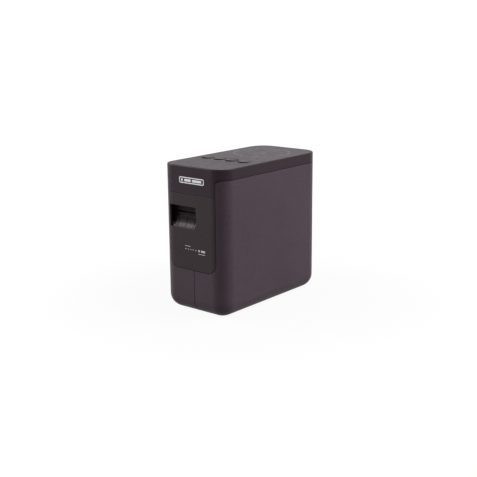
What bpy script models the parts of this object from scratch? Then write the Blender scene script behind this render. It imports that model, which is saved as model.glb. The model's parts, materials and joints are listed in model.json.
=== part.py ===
"""Desktop label maker: an upright box that prints, cuts and feeds out adhesive tape.

The frame has its origin under the middle of the body, +X to the right seen from the front,
the front face at -Y and +Z up. Sizes below are in millimetres, the objects in metres.
"""

import math

import bmesh
import bpy
from mathutils import Vector

MM = 0.001

# ---------------------------------------------------------------- driving dimensions (mm)
WIDTH = 78.0
DEPTH = 152.0
HEIGHT = 143.0
WALL = 2.2
GAP = 0.3                    # between neighbours that rest on or slide past each other
SEAM = 0.3                   # the visible line between two outer covers
FRONT_CORNER = 15.0
REAR_CORNER = 18.4
BOTTOM_ROUND = 13.8
TOP_ROUND = 1.0
FOOT_STAND = 0.5             # how far the feet lift the covers off the table

COVER_BAND = 10.5            # depth of the top cover's side, down to its seam
APRON_DROP = 16.0            # how far its apron comes down the front below that seam
PANEL_Z = 43.3               # bottom of the front panel
PANEL_HALF = 28.7
PANEL_CORNER = 10.0
APRON_FILLET = 5.0
PARTING_X = 1.5              # upright line where the two side covers meet below the panel
REAR_SPLIT_X = 28.0
TOP_THICK = 2.5
PAST = 5.0                   # how far a cutter runs past what it cuts

EXIT_X = (-28.7, 5.0)
EXIT_Z = (83.0, 104.5)
EXIT_CHAMFER = (3.0, 5.3)
EXIT_RAMP_TOP_Z = 93.0
CHUTE_DEPTH = 8.5            # back of the exit recess behind the front of the body
CHUTE_WALL = 1.2
SLOT_BELOW = 1.5             # the tape's slots reach this far below its underside
SLOT_ABOVE = 2.3

HINGE_BARREL = 2.0           # radius of the rolled rear edge of the tape cover
HINGE_Y = 55.0
HINGE_PIN = 0.9
KNUCKLES_Z = ((34.0, 42.0), (104.0, 112.0))

BUTTON_RADIUS = 6.1
BUTTON_PITCH = 15.3
BUTTON_MID_X = -1.7
BUTTON_Y = -24.5
BUTTON_PROUD = 0.8           # front edge above the top; the rear edge is flush
BUTTON_TRAVEL = 0.6
FLANGE_REACH = 1.1           # of the stop flange past the button's side
FLANGE_DROP = 1.5            # its underside below the inside of the top
STEM_RADIUS = 1.6
STEM_FOOT = 6.6              # above the underside of the key board
KEY_BOARD_DROP = 10.5        # that underside below the inside of the top

BASE_THICK = 3.4
FOOT_RADIUS = 4.5
FOOT_X = 19.0
FOOT_Y = 55.0
FOOT_RECESS = 1.5
LID_LEDGE = 2.0              # how far the base plate reaches over the battery cover

CELL_RADIUS = 7.1
CELL_LENGTH = 50.5
CELL_ROOM = 0.4              # between two cells, side by side or end to end
CONTACT_ROOM = 3.0           # beyond the cells at each end of their box
CONTACT_SHEET = 0.5
BOX_WALL = 1.2
LID_Y = (-46.0, 41.5)
LID_THICK = 1.8
LID_TRAVEL = 8.0

PLATE = 2.0                  # chassis sheet thickness
CHASSIS_X = 3.0              # left face of the upright chassis plate
CHASSIS_REAR = 56.0
DECK_FRONT = -60.0
DECK_EDGE = 0.2              # between the deck's left edge and the line of the hinge barrel
SHAFT_LIFT = 6.0             # room for the platen's shaft to swing up and forward

CASSETTE_Y = (-46.0, 42.0)
CASSETTE_Z = (52.0, 118.0)
CASSETTE_LEFT = -27.0
CASE_WALL = 1.2
CASE_LID = 1.5
TAPE_WIDTH = 24.0
TAPE_THICK = 0.25
TAPE_Z = 97.1                # underside of the tape on its way out
ROLL_RADIUS = 20.0
ROLL_Y = 18.0
CORE_RADIUS = 9.0
HUB_RADIUS = 4.0
SPOOL_Z = 64.0
TAKE_UP_Y = -14.0
SUPPLY_Y = -34.0
SPOOL_RADIUS = 7.0
SPINDLE_RADIUS = 3.0

PLATEN_RADIUS = 5.5
PLATEN_SHAFT = 1.5
PLATEN_ROOM = 0.5            # between the roller and the cassette
HOLDER_PIVOT_Y = -40.0
HOLDER_PIVOT_Z = 123.0
HOLDER_PIN = 1.5
HOLDER_SHEET = 1.6

MODULE = 1.0
GEAR_X = (6.0, 10.0)
PLATEN_TEETH = 14
SMALL_TEETH = 20
LARGE_TEETH = 24
RIBBON_TEETH = 14
PINION_TEETH = 10
GEAR_POST = 1.5
GEAR_PLATE_X = 12.0
GEAR_PLATE_THICK = 1.5
GEAR_PLATE_EDGE = 4.0        # of the plate around its posts
PLATE_POST = 2.5
SHAFT_HOLE = 2.0
MOTOR_RADIUS = 12.0
MOTOR_LENGTH = 18.0

CUTTER_FRAME_Y = (-64.6, -62.6)
FIXED_BLADE = 0.6
MOVING_BLADE = 0.8
BLADE_PIVOT = (6.0, 99.0)
BLADE_PIN = 1.2
BLADE_TEETH = 24
CUTTER_TEETH = 10
CUTTER_MOTOR_RADIUS = 8.0
CUTTER_MOTOR_LENGTH = 22.0
CUTTER_REACH = 15.0          # of the cutter's frame above and below the tape

BOARD = 1.6
REAR_BOARD_Y = 58.0
REAR_BOARD_X = (-20.0, 30.0)
REAR_BOARD_Z = (24.0, 124.0)
BOARD_POST = 3.0
BOARD_POSTS = ((-16.0, 30.0), (-16.0, 118.0), (25.0, 118.0), (25.0, 30.0))
ANTENNA_X = (-25.0, 24.0)
ANTENNA_Y = (12.0, 50.0)
SOCKET_REAR = 0.6            # the sockets stop short of the back by this much
SOCKETS = {
    "dc_jack": ((6.0, 15.0), (30.0, 39.0)),
    "usb_socket": ((4.0, 16.0), (50.0, 61.0)),
}

# ---------------------------------------------------------------- sizes that follow
HALF_W = WIDTH / 2
HALF_D = DEPTH / 2
INNER_W = HALF_W - WALL
INNER_D = HALF_D - WALL
COVER_SEAM_Z = HEIGHT - COVER_BAND
APRON_Z = COVER_SEAM_Z - APRON_DROP
SHELL_TOP = COVER_SEAM_Z - SEAM / 2
COVER_BOTTOM = COVER_SEAM_Z + SEAM / 2
FLANGE_D = HALF_D - BOTTOM_ROUND
BASE_Z = FOOT_STAND + GAP
BASE_TOP = BASE_Z + BASE_THICK
CELL_PITCH = 2 * CELL_RADIUS + CELL_ROOM
CELL_Z = BASE_TOP + GAP + CELL_RADIUS
BOX_TOP = CELL_Z + CELL_RADIUS + GAP + BOX_WALL
DECK_Z = BOX_TOP + GAP       # underside of the chassis deck
TOP_INSIDE = HEIGHT - TOP_THICK
PLATEN_Y = CASSETTE_Y[0] - PLATEN_ROOM - PLATEN_RADIUS
PLATEN_Z = TAPE_Z + TAPE_THICK + GAP + PLATEN_RADIUS
TAPE_MID_X = (CASSETTE_LEFT + CHASSIS_X) / 2
TAPE_X = (TAPE_MID_X - TAPE_WIDTH / 2, TAPE_MID_X + TAPE_WIDTH / 2)
ROLL_Z = TAPE_Z - GAP - ROLL_RADIUS
HINGE_X = -HALF_W + HINGE_BARREL
REAR_SPLIT_Y = HINGE_Y + HINGE_BARREL + GAP
CHASSIS_RIGHT = CHASSIS_X + PLATE
KEY_BOARD_Z = TOP_INSIDE - KEY_BOARD_DROP
CHASSIS_TOP = KEY_BOARD_Z - GAP


# ---------------------------------------------------------------- materials
def srgb(hex_code):
    """Linear RGBA of an sRGB hex colour."""
    parts = [int(hex_code[i:i + 2], 16) / 255 for i in (0, 2, 4)]
    linear = [c / 12.92 if c <= 0.04045 else ((c + 0.055) / 1.055) ** 2.4 for c in parts]
    return (*linear, 1.0)


def material(name, hex_code, roughness, metallic=0.0):
    made = bpy.data.materials.new(name)
    made.use_nodes = True
    shader = made.node_tree.nodes["Principled BSDF"]
    shader.inputs["Base Color"].default_value = srgb(hex_code)
    shader.inputs["Roughness"].default_value = roughness
    shader.inputs["Metallic"].default_value = metallic
    return made


def clear_scene():
    for obj in list(bpy.data.objects):
        bpy.data.objects.remove(obj, do_unlink=True)


# ---------------------------------------------------------------- shapes (bmesh, in mm)
def place(axis, u, v, along):
    """A point from two coordinates across an axis and one along it."""
    if axis == "X":
        return Vector((along, u, v))
    if axis == "Y":
        return Vector((u, along, v))
    return Vector((u, v, along))


def box(x, y, z):
    """A block between two values on each axis."""
    bm = bmesh.new()
    bmesh.ops.create_cube(bm, size=1.0)
    size = Vector((x[1] - x[0], y[1] - y[0], z[1] - z[0]))
    middle = Vector((x[0] + x[1], y[0] + y[1], z[0] + z[1])) / 2
    bmesh.ops.scale(bm, vec=size, verts=bm.verts[:])
    bmesh.ops.translate(bm, vec=middle, verts=bm.verts[:])
    return bm


def circle(radius, count, centre=(0.0, 0.0), start=0.0):
    steps = [start + 2 * math.pi * i / count for i in range(count)]
    return [(centre[0] + radius * math.cos(a), centre[1] + radius * math.sin(a)) for a in steps]


def arc(centre, radius, start_deg, end_deg, steps):
    """Points along an arc, both ends included."""
    angles = [math.radians(start_deg + (end_deg - start_deg) * i / steps) for i in range(steps + 1)]
    return [(centre[0] + radius * math.cos(a), centre[1] + radius * math.sin(a)) for a in angles]


def prism(points, axis, start, end):
    """An outline extruded along an axis."""
    bm = bmesh.new()
    face = bm.faces.new([bm.verts.new(place(axis, u, v, start)) for u, v in points])
    made = bmesh.ops.extrude_face_region(bm, geom=[face])
    moved = [item for item in made["geom"] if isinstance(item, bmesh.types.BMVert)]
    bmesh.ops.translate(bm, vec=place(axis, 0, 0, end - start), verts=moved)
    return bm


def rod(axis, centre, radius, start, end, count=20):
    return prism(circle(radius, count, centre), axis, start, end)


def loft(rings, closed):
    """A skin through rings of equal counts; closed joins the last ring to the first."""
    bm = bmesh.new()
    rows = [[bm.verts.new(point) for point in ring] for ring in rings]
    count = len(rows[0])
    pairs = list(zip(rows, rows[1:] + rows[:1])) if closed else list(zip(rows, rows[1:]))
    for low, high in pairs:
        for i in range(count):
            j = (i + 1) % count
            bm.faces.new((low[i], low[j], high[j], high[i]))
    if not closed:
        bm.faces.new(rows[0])
        bm.faces.new(rows[-1])
    return bm


def ring_prism(outer, inner, axis, start, end):
    """An outline with a hole through it, both with the same number of points."""
    rings = [[place(axis, u, v, at) for u, v in outline]
             for outline, at in ((outer, start), (outer, end), (inner, end), (inner, start))]
    return loft(rings, closed=True)


def tube(axis, centre, radius, bore, start, end, count=20):
    return ring_prism(circle(radius, count, centre), circle(bore, count, centre), axis, start, end)


def turned(profile, axis, centre, count=20):
    """A closed profile of (radius, along) turned about an axis."""
    rings = [[place(axis, u, v, along) for u, v in circle(max(radius, 1e-6), count, centre)]
             for radius, along in profile]
    on_axis = profile[0][0] == 0
    bm = loft(rings, closed=not on_axis)
    bmesh.ops.remove_doubles(bm, verts=bm.verts[:], dist=1e-4)
    return bm


# ---------------------------------------------------------------- objects
def add(name, bm, look, origin=(0, 0, 0), smooth=True):
    """Make the object of a shape, with its own origin."""
    bmesh.ops.recalc_face_normals(bm, faces=bm.faces[:])
    bmesh.ops.translate(bm, vec=-Vector(origin), verts=bm.verts[:])
    bmesh.ops.scale(bm, vec=(MM, MM, MM), verts=bm.verts[:])
    mesh = bpy.data.meshes.new(name)
    bm.to_mesh(mesh)
    bm.free()
    if smooth:
        mesh.shade_smooth()
        mesh.set_sharp_from_angle(angle=math.radians(30))
    if look:
        mesh.materials.append(look)
    obj = bpy.data.objects.new(name, mesh)
    obj.location = Vector(origin) * MM
    bpy.context.scene.collection.objects.link(obj)
    return obj


def tool(bm):
    """A hidden shape that another object's Boolean reads."""
    obj = add("tool", bm, None, smooth=False)
    obj.hide_render = True
    obj.display_type = "WIRE"
    return obj


def shape_with(obj, operation, *shapes):
    """Join, cut or trim an object with each shape, or each finished tool, in turn."""
    for shape in shapes:
        modifier = obj.modifiers.new(operation.lower(), "BOOLEAN")
        modifier.operation = operation
        modifier.object = shape if isinstance(shape, bpy.types.Object) else tool(shape)
    return obj


def join(obj, *shapes):
    return shape_with(obj, "UNION", *shapes)


def cut(obj, *shapes):
    return shape_with(obj, "DIFFERENCE", *shapes)


def keep(obj, *shapes):
    return shape_with(obj, "INTERSECT", *shapes)


# ---------------------------------------------------------------- outer covers
def outline(inset, z):
    """The body's rounded rectangle, drawn in by an inset, as points at a height."""
    steps = 7
    front = FRONT_CORNER - inset
    rear = REAR_CORNER - inset
    fx = HALF_W - FRONT_CORNER
    fy = HALF_D - FRONT_CORNER
    rx = HALF_W - REAR_CORNER
    ry = HALF_D - REAR_CORNER
    flat = arc((fx, -fy), front, -90, 0, steps) + arc((rx, ry), rear, 0, 90, steps)
    flat += arc((-rx, ry), rear, 90, 180, steps) + arc((-fx, -fy), front, 180, 270, steps)
    return [Vector((x, y, z)) for x, y in flat]


def flat_outline(inset):
    return [(point.x, point.y) for point in outline(inset, 0)]


def side_wall():
    """The body's wall with its rounded bottom edge, open above and below."""
    steps = 6
    centre_z = FOOT_STAND + BOTTOM_ROUND
    turn = [math.radians(90 * i / steps) for i in range(steps + 1)]
    outer = [(BOTTOM_ROUND * (1 - math.cos(t)), centre_z - BOTTOM_ROUND * math.sin(t)) for t in turn]
    inner_round = BOTTOM_ROUND - WALL
    inner = [(BOTTOM_ROUND - inner_round * math.cos(t), centre_z - inner_round * math.sin(t))
             for t in reversed(turn)]
    profile = [(0, SHELL_TOP)] + outer + inner + [(WALL, SHELL_TOP)]
    return loft([outline(inset, z) for inset, z in profile], closed=True)


def front_opening(margin, bottom, top):
    """Outline of the black front between the side covers, grown by a margin."""
    side = PANEL_HALF + margin
    corner = PANEL_CORNER + margin
    corner_x = PANEL_HALF - PANEL_CORNER
    corner_z = PANEL_Z + PANEL_CORNER
    fillet_x = PANEL_HALF + APRON_FILLET
    fillet_z = COVER_SEAM_Z - APRON_FILLET
    fillet = APRON_FILLET - margin
    if bottom > corner_z:
        right = [(side, bottom)]
    else:
        right = arc((corner_x, corner_z), corner, 270, 360, 6)
    if top > fillet_z:
        right += arc((fillet_x, fillet_z), fillet, 180, 105, 4)
        right += [(fillet_x, top)]
    else:
        right += [(side, top)]
    left = [(-x, z) for x, z in reversed(right)]
    return right + left


def front_prism(margin, bottom, top):
    return prism(front_opening(margin, bottom, top), "Y", -HALF_D - PAST, -FLANGE_D)


def far_box(x=(None, None), y=(None, None), z=(None, None)):
    """A cutting block that runs past the body wherever no limit is given."""
    past = ((-HALF_W - 20, HALF_W + 20), (-HALF_D - 20, HALF_D + 20), (-20, HEIGHT + 20))
    limits = [[far if at is None else at for at, far in zip(pair, ends)]
              for pair, ends in zip((x, y, z), past)]
    return box(*limits)


def knuckle_shapes(clearance):
    """The blocks along the hinge line where the rear panel's knuckles sit."""
    reach = HINGE_BARREL + clearance
    return [box((HINGE_X - reach, HINGE_X + reach), (HINGE_Y - reach, HINGE_Y + reach + WALL),
                (low - clearance, high + clearance)) for low, high in KNUCKLES_Z]


def tape_cover(look):
    """The left cover, a door over the tape compartment, with its hinge edge."""
    door = add("tape_cover", side_wall(), look, origin=(HINGE_X, HINGE_Y, 0))
    keep(door, far_box(x=(None, PARTING_X - SEAM / 2), y=(None, HINGE_Y)))
    cut(door, front_prism(SEAM / 2, PANEL_Z, HEIGHT))
    barrel_low = FOOT_STAND + BOTTOM_ROUND + 1
    join(door, rod("Z", (HINGE_X, HINGE_Y), HINGE_BARREL, barrel_low, SHELL_TOP - 1))
    cut(door, *knuckle_shapes(GAP))
    bore = HINGE_PIN + GAP
    cut(door, rod("Z", (HINGE_X, HINGE_Y), bore, barrel_low - PAST, SHELL_TOP + PAST, 16))
    return door


def hinge_pin(look):
    low = FOOT_STAND + BOTTOM_ROUND + 2
    return add("cover_hinge_pin", rod("Z", (HINGE_X, HINGE_Y), HINGE_PIN, low, SHELL_TOP - 2, 12), look)


def right_shell(look):
    shell = add("right_shell", side_wall(), look)
    keep(shell, far_box(x=(PARTING_X + SEAM / 2, None)))
    cut(shell, far_box(x=(None, REAR_SPLIT_X + SEAM / 2), y=(REAR_SPLIT_Y - SEAM, None)))
    return cut(shell, front_prism(SEAM / 2, PANEL_Z, HEIGHT))


def rear_panel(look):
    """The back of the body with the hinge knuckles, the socket holes and the board's posts."""
    panel = add("rear_panel", side_wall(), look)
    keep(panel, far_box(x=(None, REAR_SPLIT_X - SEAM / 2), y=(REAR_SPLIT_Y, None)))
    arm_x = (HINGE_X - HINGE_BARREL + 0.2, HINGE_X - 0.1)
    for low, high in KNUCKLES_Z:
        arm = box(arm_x, (HINGE_Y, REAR_SPLIT_Y + 1), (low, high))
        join(panel, arm, rod("Z", (HINGE_X, HINGE_Y), HINGE_BARREL, low + 0.05, high - 0.05))
    bore = (KNUCKLES_Z[0][0] - PAST, KNUCKLES_Z[-1][1] + PAST)
    cut(panel, rod("Z", (HINGE_X, HINGE_Y), HINGE_PIN + GAP, *bore, 16))
    post_from = REAR_BOARD_Y + BOARD + GAP
    for x, z in BOARD_POSTS:
        join(panel, rod("Y", (x, z), BOARD_POST, post_from, INNER_D + 1, 12))
    for x, z in SOCKETS.values():
        through = (INNER_D - PAST, HALF_D + PAST)
        cut(panel, box((x[0] - GAP, x[1] + GAP), through, (z[0] - GAP, z[1] + GAP)))
    return panel


def exit_opening(margin):
    """Outline of the tape exit in the front panel: its lower corners are chamfered."""
    left = EXIT_X[0] - PAST
    right = EXIT_X[1] + margin
    low = EXIT_Z[0] - margin
    high = EXIT_Z[1] + margin
    return [(left, low), (right - EXIT_CHAMFER[0], low), (right, low + EXIT_CHAMFER[1]),
            (right, high), (left, high)]


def front_panel(look):
    panel = add("front_panel", side_wall(), look)
    keep(panel, front_prism(-SEAM / 2, PANEL_Z, APRON_Z - SEAM / 2))
    return cut(panel, prism(exit_opening(0), "Y", -HALF_D - PAST, -FLANGE_D))


def button_spots():
    """Name and x of the four buttons, left to right."""
    names = ("power_button", "wireless_button", "feed_button", "cut_button")
    first = BUTTON_MID_X - 1.5 * BUTTON_PITCH
    return [(name, first + i * BUTTON_PITCH) for i, name in enumerate(names)]


def top_cover(look):
    """The lid with its rolled top edge and the apron that comes down the front."""
    turn = [math.radians(90 * i / 3) for i in range(4)]
    edge = [(TOP_ROUND * (1 - math.cos(t)), HEIGHT - TOP_ROUND + TOP_ROUND * math.sin(t)) for t in turn]
    low = APRON_Z + SEAM / 2
    profile = [(WALL, TOP_INSIDE), (WALL, low), (0, low)] + edge
    lid = add("top_cover", loft([outline(inset, z) for inset, z in profile], closed=False), look)
    around = tool(far_box(z=(low - PAST, COVER_BOTTOM)))
    cut(around, front_prism(-SEAM / 2, low - 2 * PAST, HEIGHT))
    cut(lid, around)
    for _, x in button_spots():
        cut(lid, rod("Z", (x, BUTTON_Y), BUTTON_RADIUS + GAP, TOP_INSIDE - PAST, HEIGHT + PAST, 28))
    return lid


# ---------------------------------------------------------------- top, front and base pieces
def button(name, x, look):
    """A round cap with a stop flange and a stem; its face slopes down towards the rear."""
    stem_low = KEY_BOARD_Z + STEM_FOOT
    flange = (TOP_INSIDE - FLANGE_DROP, TOP_INSIDE - GAP)
    reach = BUTTON_RADIUS + FLANGE_REACH
    face_z = HEIGHT + BUTTON_PROUD
    profile = [(0, stem_low), (STEM_RADIUS, stem_low), (STEM_RADIUS, flange[0]), (reach, flange[0]),
               (reach, flange[1]), (BUTTON_RADIUS, flange[1]), (BUTTON_RADIUS, face_z), (0, face_z)]
    bm = turned(profile, "Z", (x, BUTTON_Y), 20)
    slope = BUTTON_PROUD / (2 * BUTTON_RADIUS)
    for vert in bm.verts:
        if vert.co.z > HEIGHT:
            vert.co.z -= slope * (vert.co.y - BUTTON_Y + BUTTON_RADIUS)
    return add(name, bm, look, origin=(x, BUTTON_Y, HEIGHT))


def key_board(look):
    """The board under the buttons with one switch for each."""
    spots = button_spots()
    x = (spots[0][1] - 8, spots[-1][1] + 8)
    y = (BUTTON_Y - 9, BUTTON_Y + 10)
    board = add("key_board", box(x, y, (KEY_BOARD_Z, KEY_BOARD_Z + BOARD)), look)
    switch_z = (KEY_BOARD_Z + 1, KEY_BOARD_Z + STEM_FOOT - BUTTON_TRAVEL - 0.2)
    half = 3.0
    for _, at in spots:
        join(board, box((at - half, at + half), (BUTTON_Y - half, BUTTON_Y + half), switch_z))
    return board


def antenna_board(look):
    top = TOP_INSIDE - GAP
    return add("antenna_board", box(ANTENNA_X, ANTENNA_Y, (top - BOARD, top)), look)


def exit_chute(look):
    """The recess behind the tape exit: a slot at the back above a ramp to the front."""
    back = -HALF_D + CHUTE_DEPTH
    cavity_back = back - CHUTE_WALL
    front = -HALF_D - PAST
    left = EXIT_X[0] + GAP
    right = EXIT_X[1] - 0.2
    block_z = (EXIT_Z[0] - 3, EXIT_Z[1] + 2.5)
    chute = add("exit_chute", box((left - 1, right + 1 + CHUTE_WALL), (front, back), block_z), look)
    keep(chute, prism(flat_outline(WALL + GAP), "Z", block_z[0] - PAST, block_z[1] + PAST))
    ceiling = EXIT_Z[1] - GAP
    profile = [(front, EXIT_Z[0] - 1), (-INNER_D, EXIT_Z[0] + 1.2), (cavity_back, EXIT_RAMP_TOP_Z),
               (cavity_back, ceiling), (front, ceiling)]
    cut(chute, prism(profile, "X", left + 0.2, right))
    slot_z = (TAPE_Z - SLOT_BELOW, TAPE_Z + SLOT_ABOVE)
    return cut(chute, box((TAPE_X[0] - 3, TAPE_X[1] + 3), (cavity_back - 1, back + 1), slot_z))


def base_plate(look):
    """The underside with recesses for the feet and the opening for the cells."""
    base = add("base_plate", prism(flat_outline(BOTTOM_ROUND + GAP), "Z", BASE_Z, BASE_TOP), look)
    for _, x, y in foot_spots():
        cut(base, rod("Z", (x, y), FOOT_RADIUS + GAP, BASE_Z - PAST, BASE_Z + FOOT_RECESS, 16))
    half = lid_half_width() + GAP
    opening_y = (LID_Y[0] - GAP, LID_Y[1] - LID_LEDGE)
    cut(base, box((-half, half), opening_y, (BASE_Z - PAST, BASE_TOP + PAST)))
    runway_y = (LID_Y[1] - PAST, LID_Y[1] + LID_TRAVEL + GAP)
    return cut(base, box((-half, half), runway_y, (BASE_Z - PAST, BASE_Z + LID_THICK + GAP)))


def lid_half_width():
    return CELL_PITCH + CELL_RADIUS + 0.2


def battery_cover(look):
    half = lid_half_width()
    return add("battery_cover", box((-half, half), LID_Y, (BASE_Z, BASE_Z + LID_THICK)), look,
               origin=(0, LID_Y[0], BASE_Z))


def foot_spots():
    return [(f"foot_{end}_{side}", sx * FOOT_X, sy * FOOT_Y)
            for end, sy in (("front", -1), ("rear", 1)) for side, sx in (("left", -1), ("right", 1))]


def feet(look):
    for name, x, y in foot_spots():
        add(name, rod("Z", (x, y), FOOT_RADIUS, 0, BASE_Z + FOOT_RECESS - GAP, 16), look)


# ---------------------------------------------------------------- battery compartment
def battery_box(look):
    """An upturned tray over six cells, three abreast and two deep."""
    half = lid_half_width() + GAP
    end = CELL_LENGTH + CONTACT_ROOM
    low = BASE_TOP + GAP
    outer_x = half + BOX_WALL
    outer_y = end + BOX_WALL
    tray = add("battery_box", box((-outer_x, outer_x), (-outer_y, outer_y), (low, BOX_TOP)), look)
    return cut(tray, box((-half, half), (-end, end), (low - PAST, BOX_TOP - BOX_WALL)))


def cells(look):
    """Six round cells lying front to back, each with its nub at one end."""
    start = {"front": -CELL_LENGTH - CELL_ROOM, "rear": CELL_ROOM}
    nub = 1.0
    nub_radius = 2.7
    for end, y in start.items():
        for i, x in enumerate((-CELL_PITCH, 0.0, CELL_PITCH)):
            can = [(0, y), (CELL_RADIUS, y), (CELL_RADIUS, y + CELL_LENGTH - nub),
                   (nub_radius, y + CELL_LENGTH - nub), (nub_radius, y + CELL_LENGTH),
                   (0, y + CELL_LENGTH)]
            add(f"cell_{end}_{i + 1}", turned(can, "Y", (x, CELL_Z), 16), look)


def cell_contacts(look):
    """Sprung contact strips at both ends of the cells."""
    reach = CELL_PITCH + 5
    inner = CELL_LENGTH + CELL_ROOM + GAP
    outer = CELL_LENGTH + CONTACT_ROOM - GAP
    for end, sign in (("front", -1), ("rear", 1)):
        plate = sorted((sign * (outer - CONTACT_SHEET), sign * outer))
        bump = sorted((sign * inner, sign * (outer - 0.1)))
        strip = add(f"contact_{end}", box((-reach, reach), plate, (CELL_Z - 5, CELL_Z + 5)), look)
        for x in (-CELL_PITCH, 0.0, CELL_PITCH):
            join(strip, rod("Y", (x, CELL_Z), 2.5, *bump, 10))


# ---------------------------------------------------------------- chassis
def cross(first, first_radius, second, second_radius):
    """The point at given distances from two points, on the left of the line between them."""
    a = Vector(first)
    b = Vector(second)
    span = (b - a).length
    along = (first_radius ** 2 - second_radius ** 2 + span ** 2) / (2 * span)
    aside = math.sqrt(first_radius ** 2 - along ** 2)
    ahead = (b - a) / span
    return tuple(a + ahead * along + Vector((-ahead.y, ahead.x)) * aside)


def gear_radius(teeth):
    return teeth * MODULE / 2


def train():
    """Centres (y, z) of the gears between the motor, the platen and the ribbon."""
    platen = (PLATEN_Y, PLATEN_Z)
    reach = gear_radius(PLATEN_TEETH + SMALL_TEETH)
    small = (platen[0] + 0.8 * reach, platen[1] - 0.6 * reach)
    ribbon = (TAKE_UP_Y, SPOOL_Z)
    large = cross(small, gear_radius(SMALL_TEETH + LARGE_TEETH), ribbon,
                  gear_radius(RIBBON_TEETH + LARGE_TEETH))
    pinion = (large[0] + gear_radius(PINION_TEETH + LARGE_TEETH), large[1])
    return {"platen": platen, "small": small, "large": large, "ribbon": ribbon, "pinion": pinion}


def gear_plate_posts():
    """Where the gear plate stands off the chassis (y, z)."""
    spots = train()
    right = spots["pinion"][0] + 8
    return ((-48.0, 76.0), (right, 66.0), (right, 104.0), (-32.0, 108.0))


def chassis(look):
    """The frame: a deck, an upright plate, the cassette's shelf and stop, and the gear posts."""
    spots = train()
    upright_y = (CUTTER_FRAME_Y[1] + GAP, CHASSIS_REAR)
    frame = add("chassis", box((CHASSIS_X, CHASSIS_RIGHT), upright_y, (DECK_Z, CHASSIS_TOP)), look)
    deck_x = (HINGE_X + HINGE_BARREL + DECK_EDGE, INNER_W - GAP)
    deck = box(deck_x, (DECK_FRONT, HINGE_Y - HINGE_BARREL), (DECK_Z, DECK_Z + PLATE))
    shelf_x = (CASSETTE_LEFT, CHASSIS_X + 1)
    shelf_top = CASSETTE_Z[0] - GAP
    shelf = box(shelf_x, (CASSETTE_Y[0], CASSETTE_Y[1] + 1), (shelf_top - PLATE, shelf_top))
    stop_y = CASSETTE_Y[1] + GAP
    stop = box(shelf_x, (stop_y, stop_y + PLATE), (DECK_Z + 1, CASSETTE_Z[1]))
    join(frame, deck, shelf, stop)
    for name in ("small", "large"):
        join(frame, rod("X", spots[name], GEAR_POST, CHASSIS_RIGHT - 1, GEAR_PLATE_X - GAP, 12))
    for spot in gear_plate_posts():
        join(frame, rod("X", spot, PLATE_POST, CHASSIS_RIGHT - 1, GEAR_PLATE_X - GAP, 12))
    through = (CHASSIS_X - PAST, CHASSIS_RIGHT + PAST)
    shaft = PLATEN_SHAFT + GAP
    notch_y = (PLATEN_Y - shaft - SHAFT_LIFT, PLATEN_Y + shaft)
    notch_z = (PLATEN_Z - shaft, PLATEN_Z + shaft + SHAFT_LIFT)
    cut(frame, box(through, notch_y, notch_z))
    cut(frame, rod("X", spots["ribbon"], SPINDLE_RADIUS + GAP, *through, 16))
    return frame


def gear_plate(look):
    """The plate over the gears that carries the drive motor."""
    spots = train()
    posts = gear_plate_posts()
    edge = GEAR_PLATE_EDGE
    y = (min(p[0] for p in posts) - edge, max(p[0] for p in posts) + edge)
    z = (min(p[1] for p in posts) - edge, max(p[1] for p in posts) + edge)
    plate = add("gear_plate", box((GEAR_PLATE_X, GEAR_PLATE_X + GEAR_PLATE_THICK), y, z), look)
    through = (GEAR_PLATE_X - PAST, GEAR_PLATE_X + PAST)
    return cut(plate, rod("X", spots["pinion"], SHAFT_HOLE, *through, 16))


def drive_motor(look):
    start = GEAR_PLATE_X + GEAR_PLATE_THICK + GAP
    can = rod("X", train()["pinion"], MOTOR_RADIUS, start, start + MOTOR_LENGTH, 28)
    return add("drive_motor", can, look)


# ---------------------------------------------------------------- gears
def gear_outline(teeth, centre, phase):
    """Straight-sided teeth: four points each, slack enough to run in mesh."""
    pitch = 2 * math.pi / teeth
    root = root_radius(teeth)
    tip = gear_radius(teeth) + 0.8 * MODULE
    points = []
    for i in range(teeth):
        for share, radius in ((-0.28, root), (-0.10, tip), (0.10, tip), (0.28, root)):
            points.append(polar(centre, radius, phase + pitch * (i + share)))
    return points


def root_radius(teeth):
    return gear_radius(teeth) - 1.15 * MODULE


def polar(centre, radius, angle):
    return centre[0] + radius * math.cos(angle), centre[1] + radius * math.sin(angle)


def meshed_phase(first, first_teeth, first_phase, second, second_teeth):
    """Phase that puts the second gear's teeth in the first one's gaps."""
    aim = math.atan2(second[1] - first[1], second[0] - first[0])
    half_pitch = math.pi * MODULE / 2
    shift = gear_radius(first_teeth) * (first_phase - aim) + half_pitch
    return aim + math.pi - shift / gear_radius(second_teeth)


def toothed(teeth, centre, phase, axis, width, bore):
    outer = gear_outline(teeth, centre, phase)
    inner = circle(bore, len(outer), centre, phase)
    return ring_prism(outer, inner, axis, *width)


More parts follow.
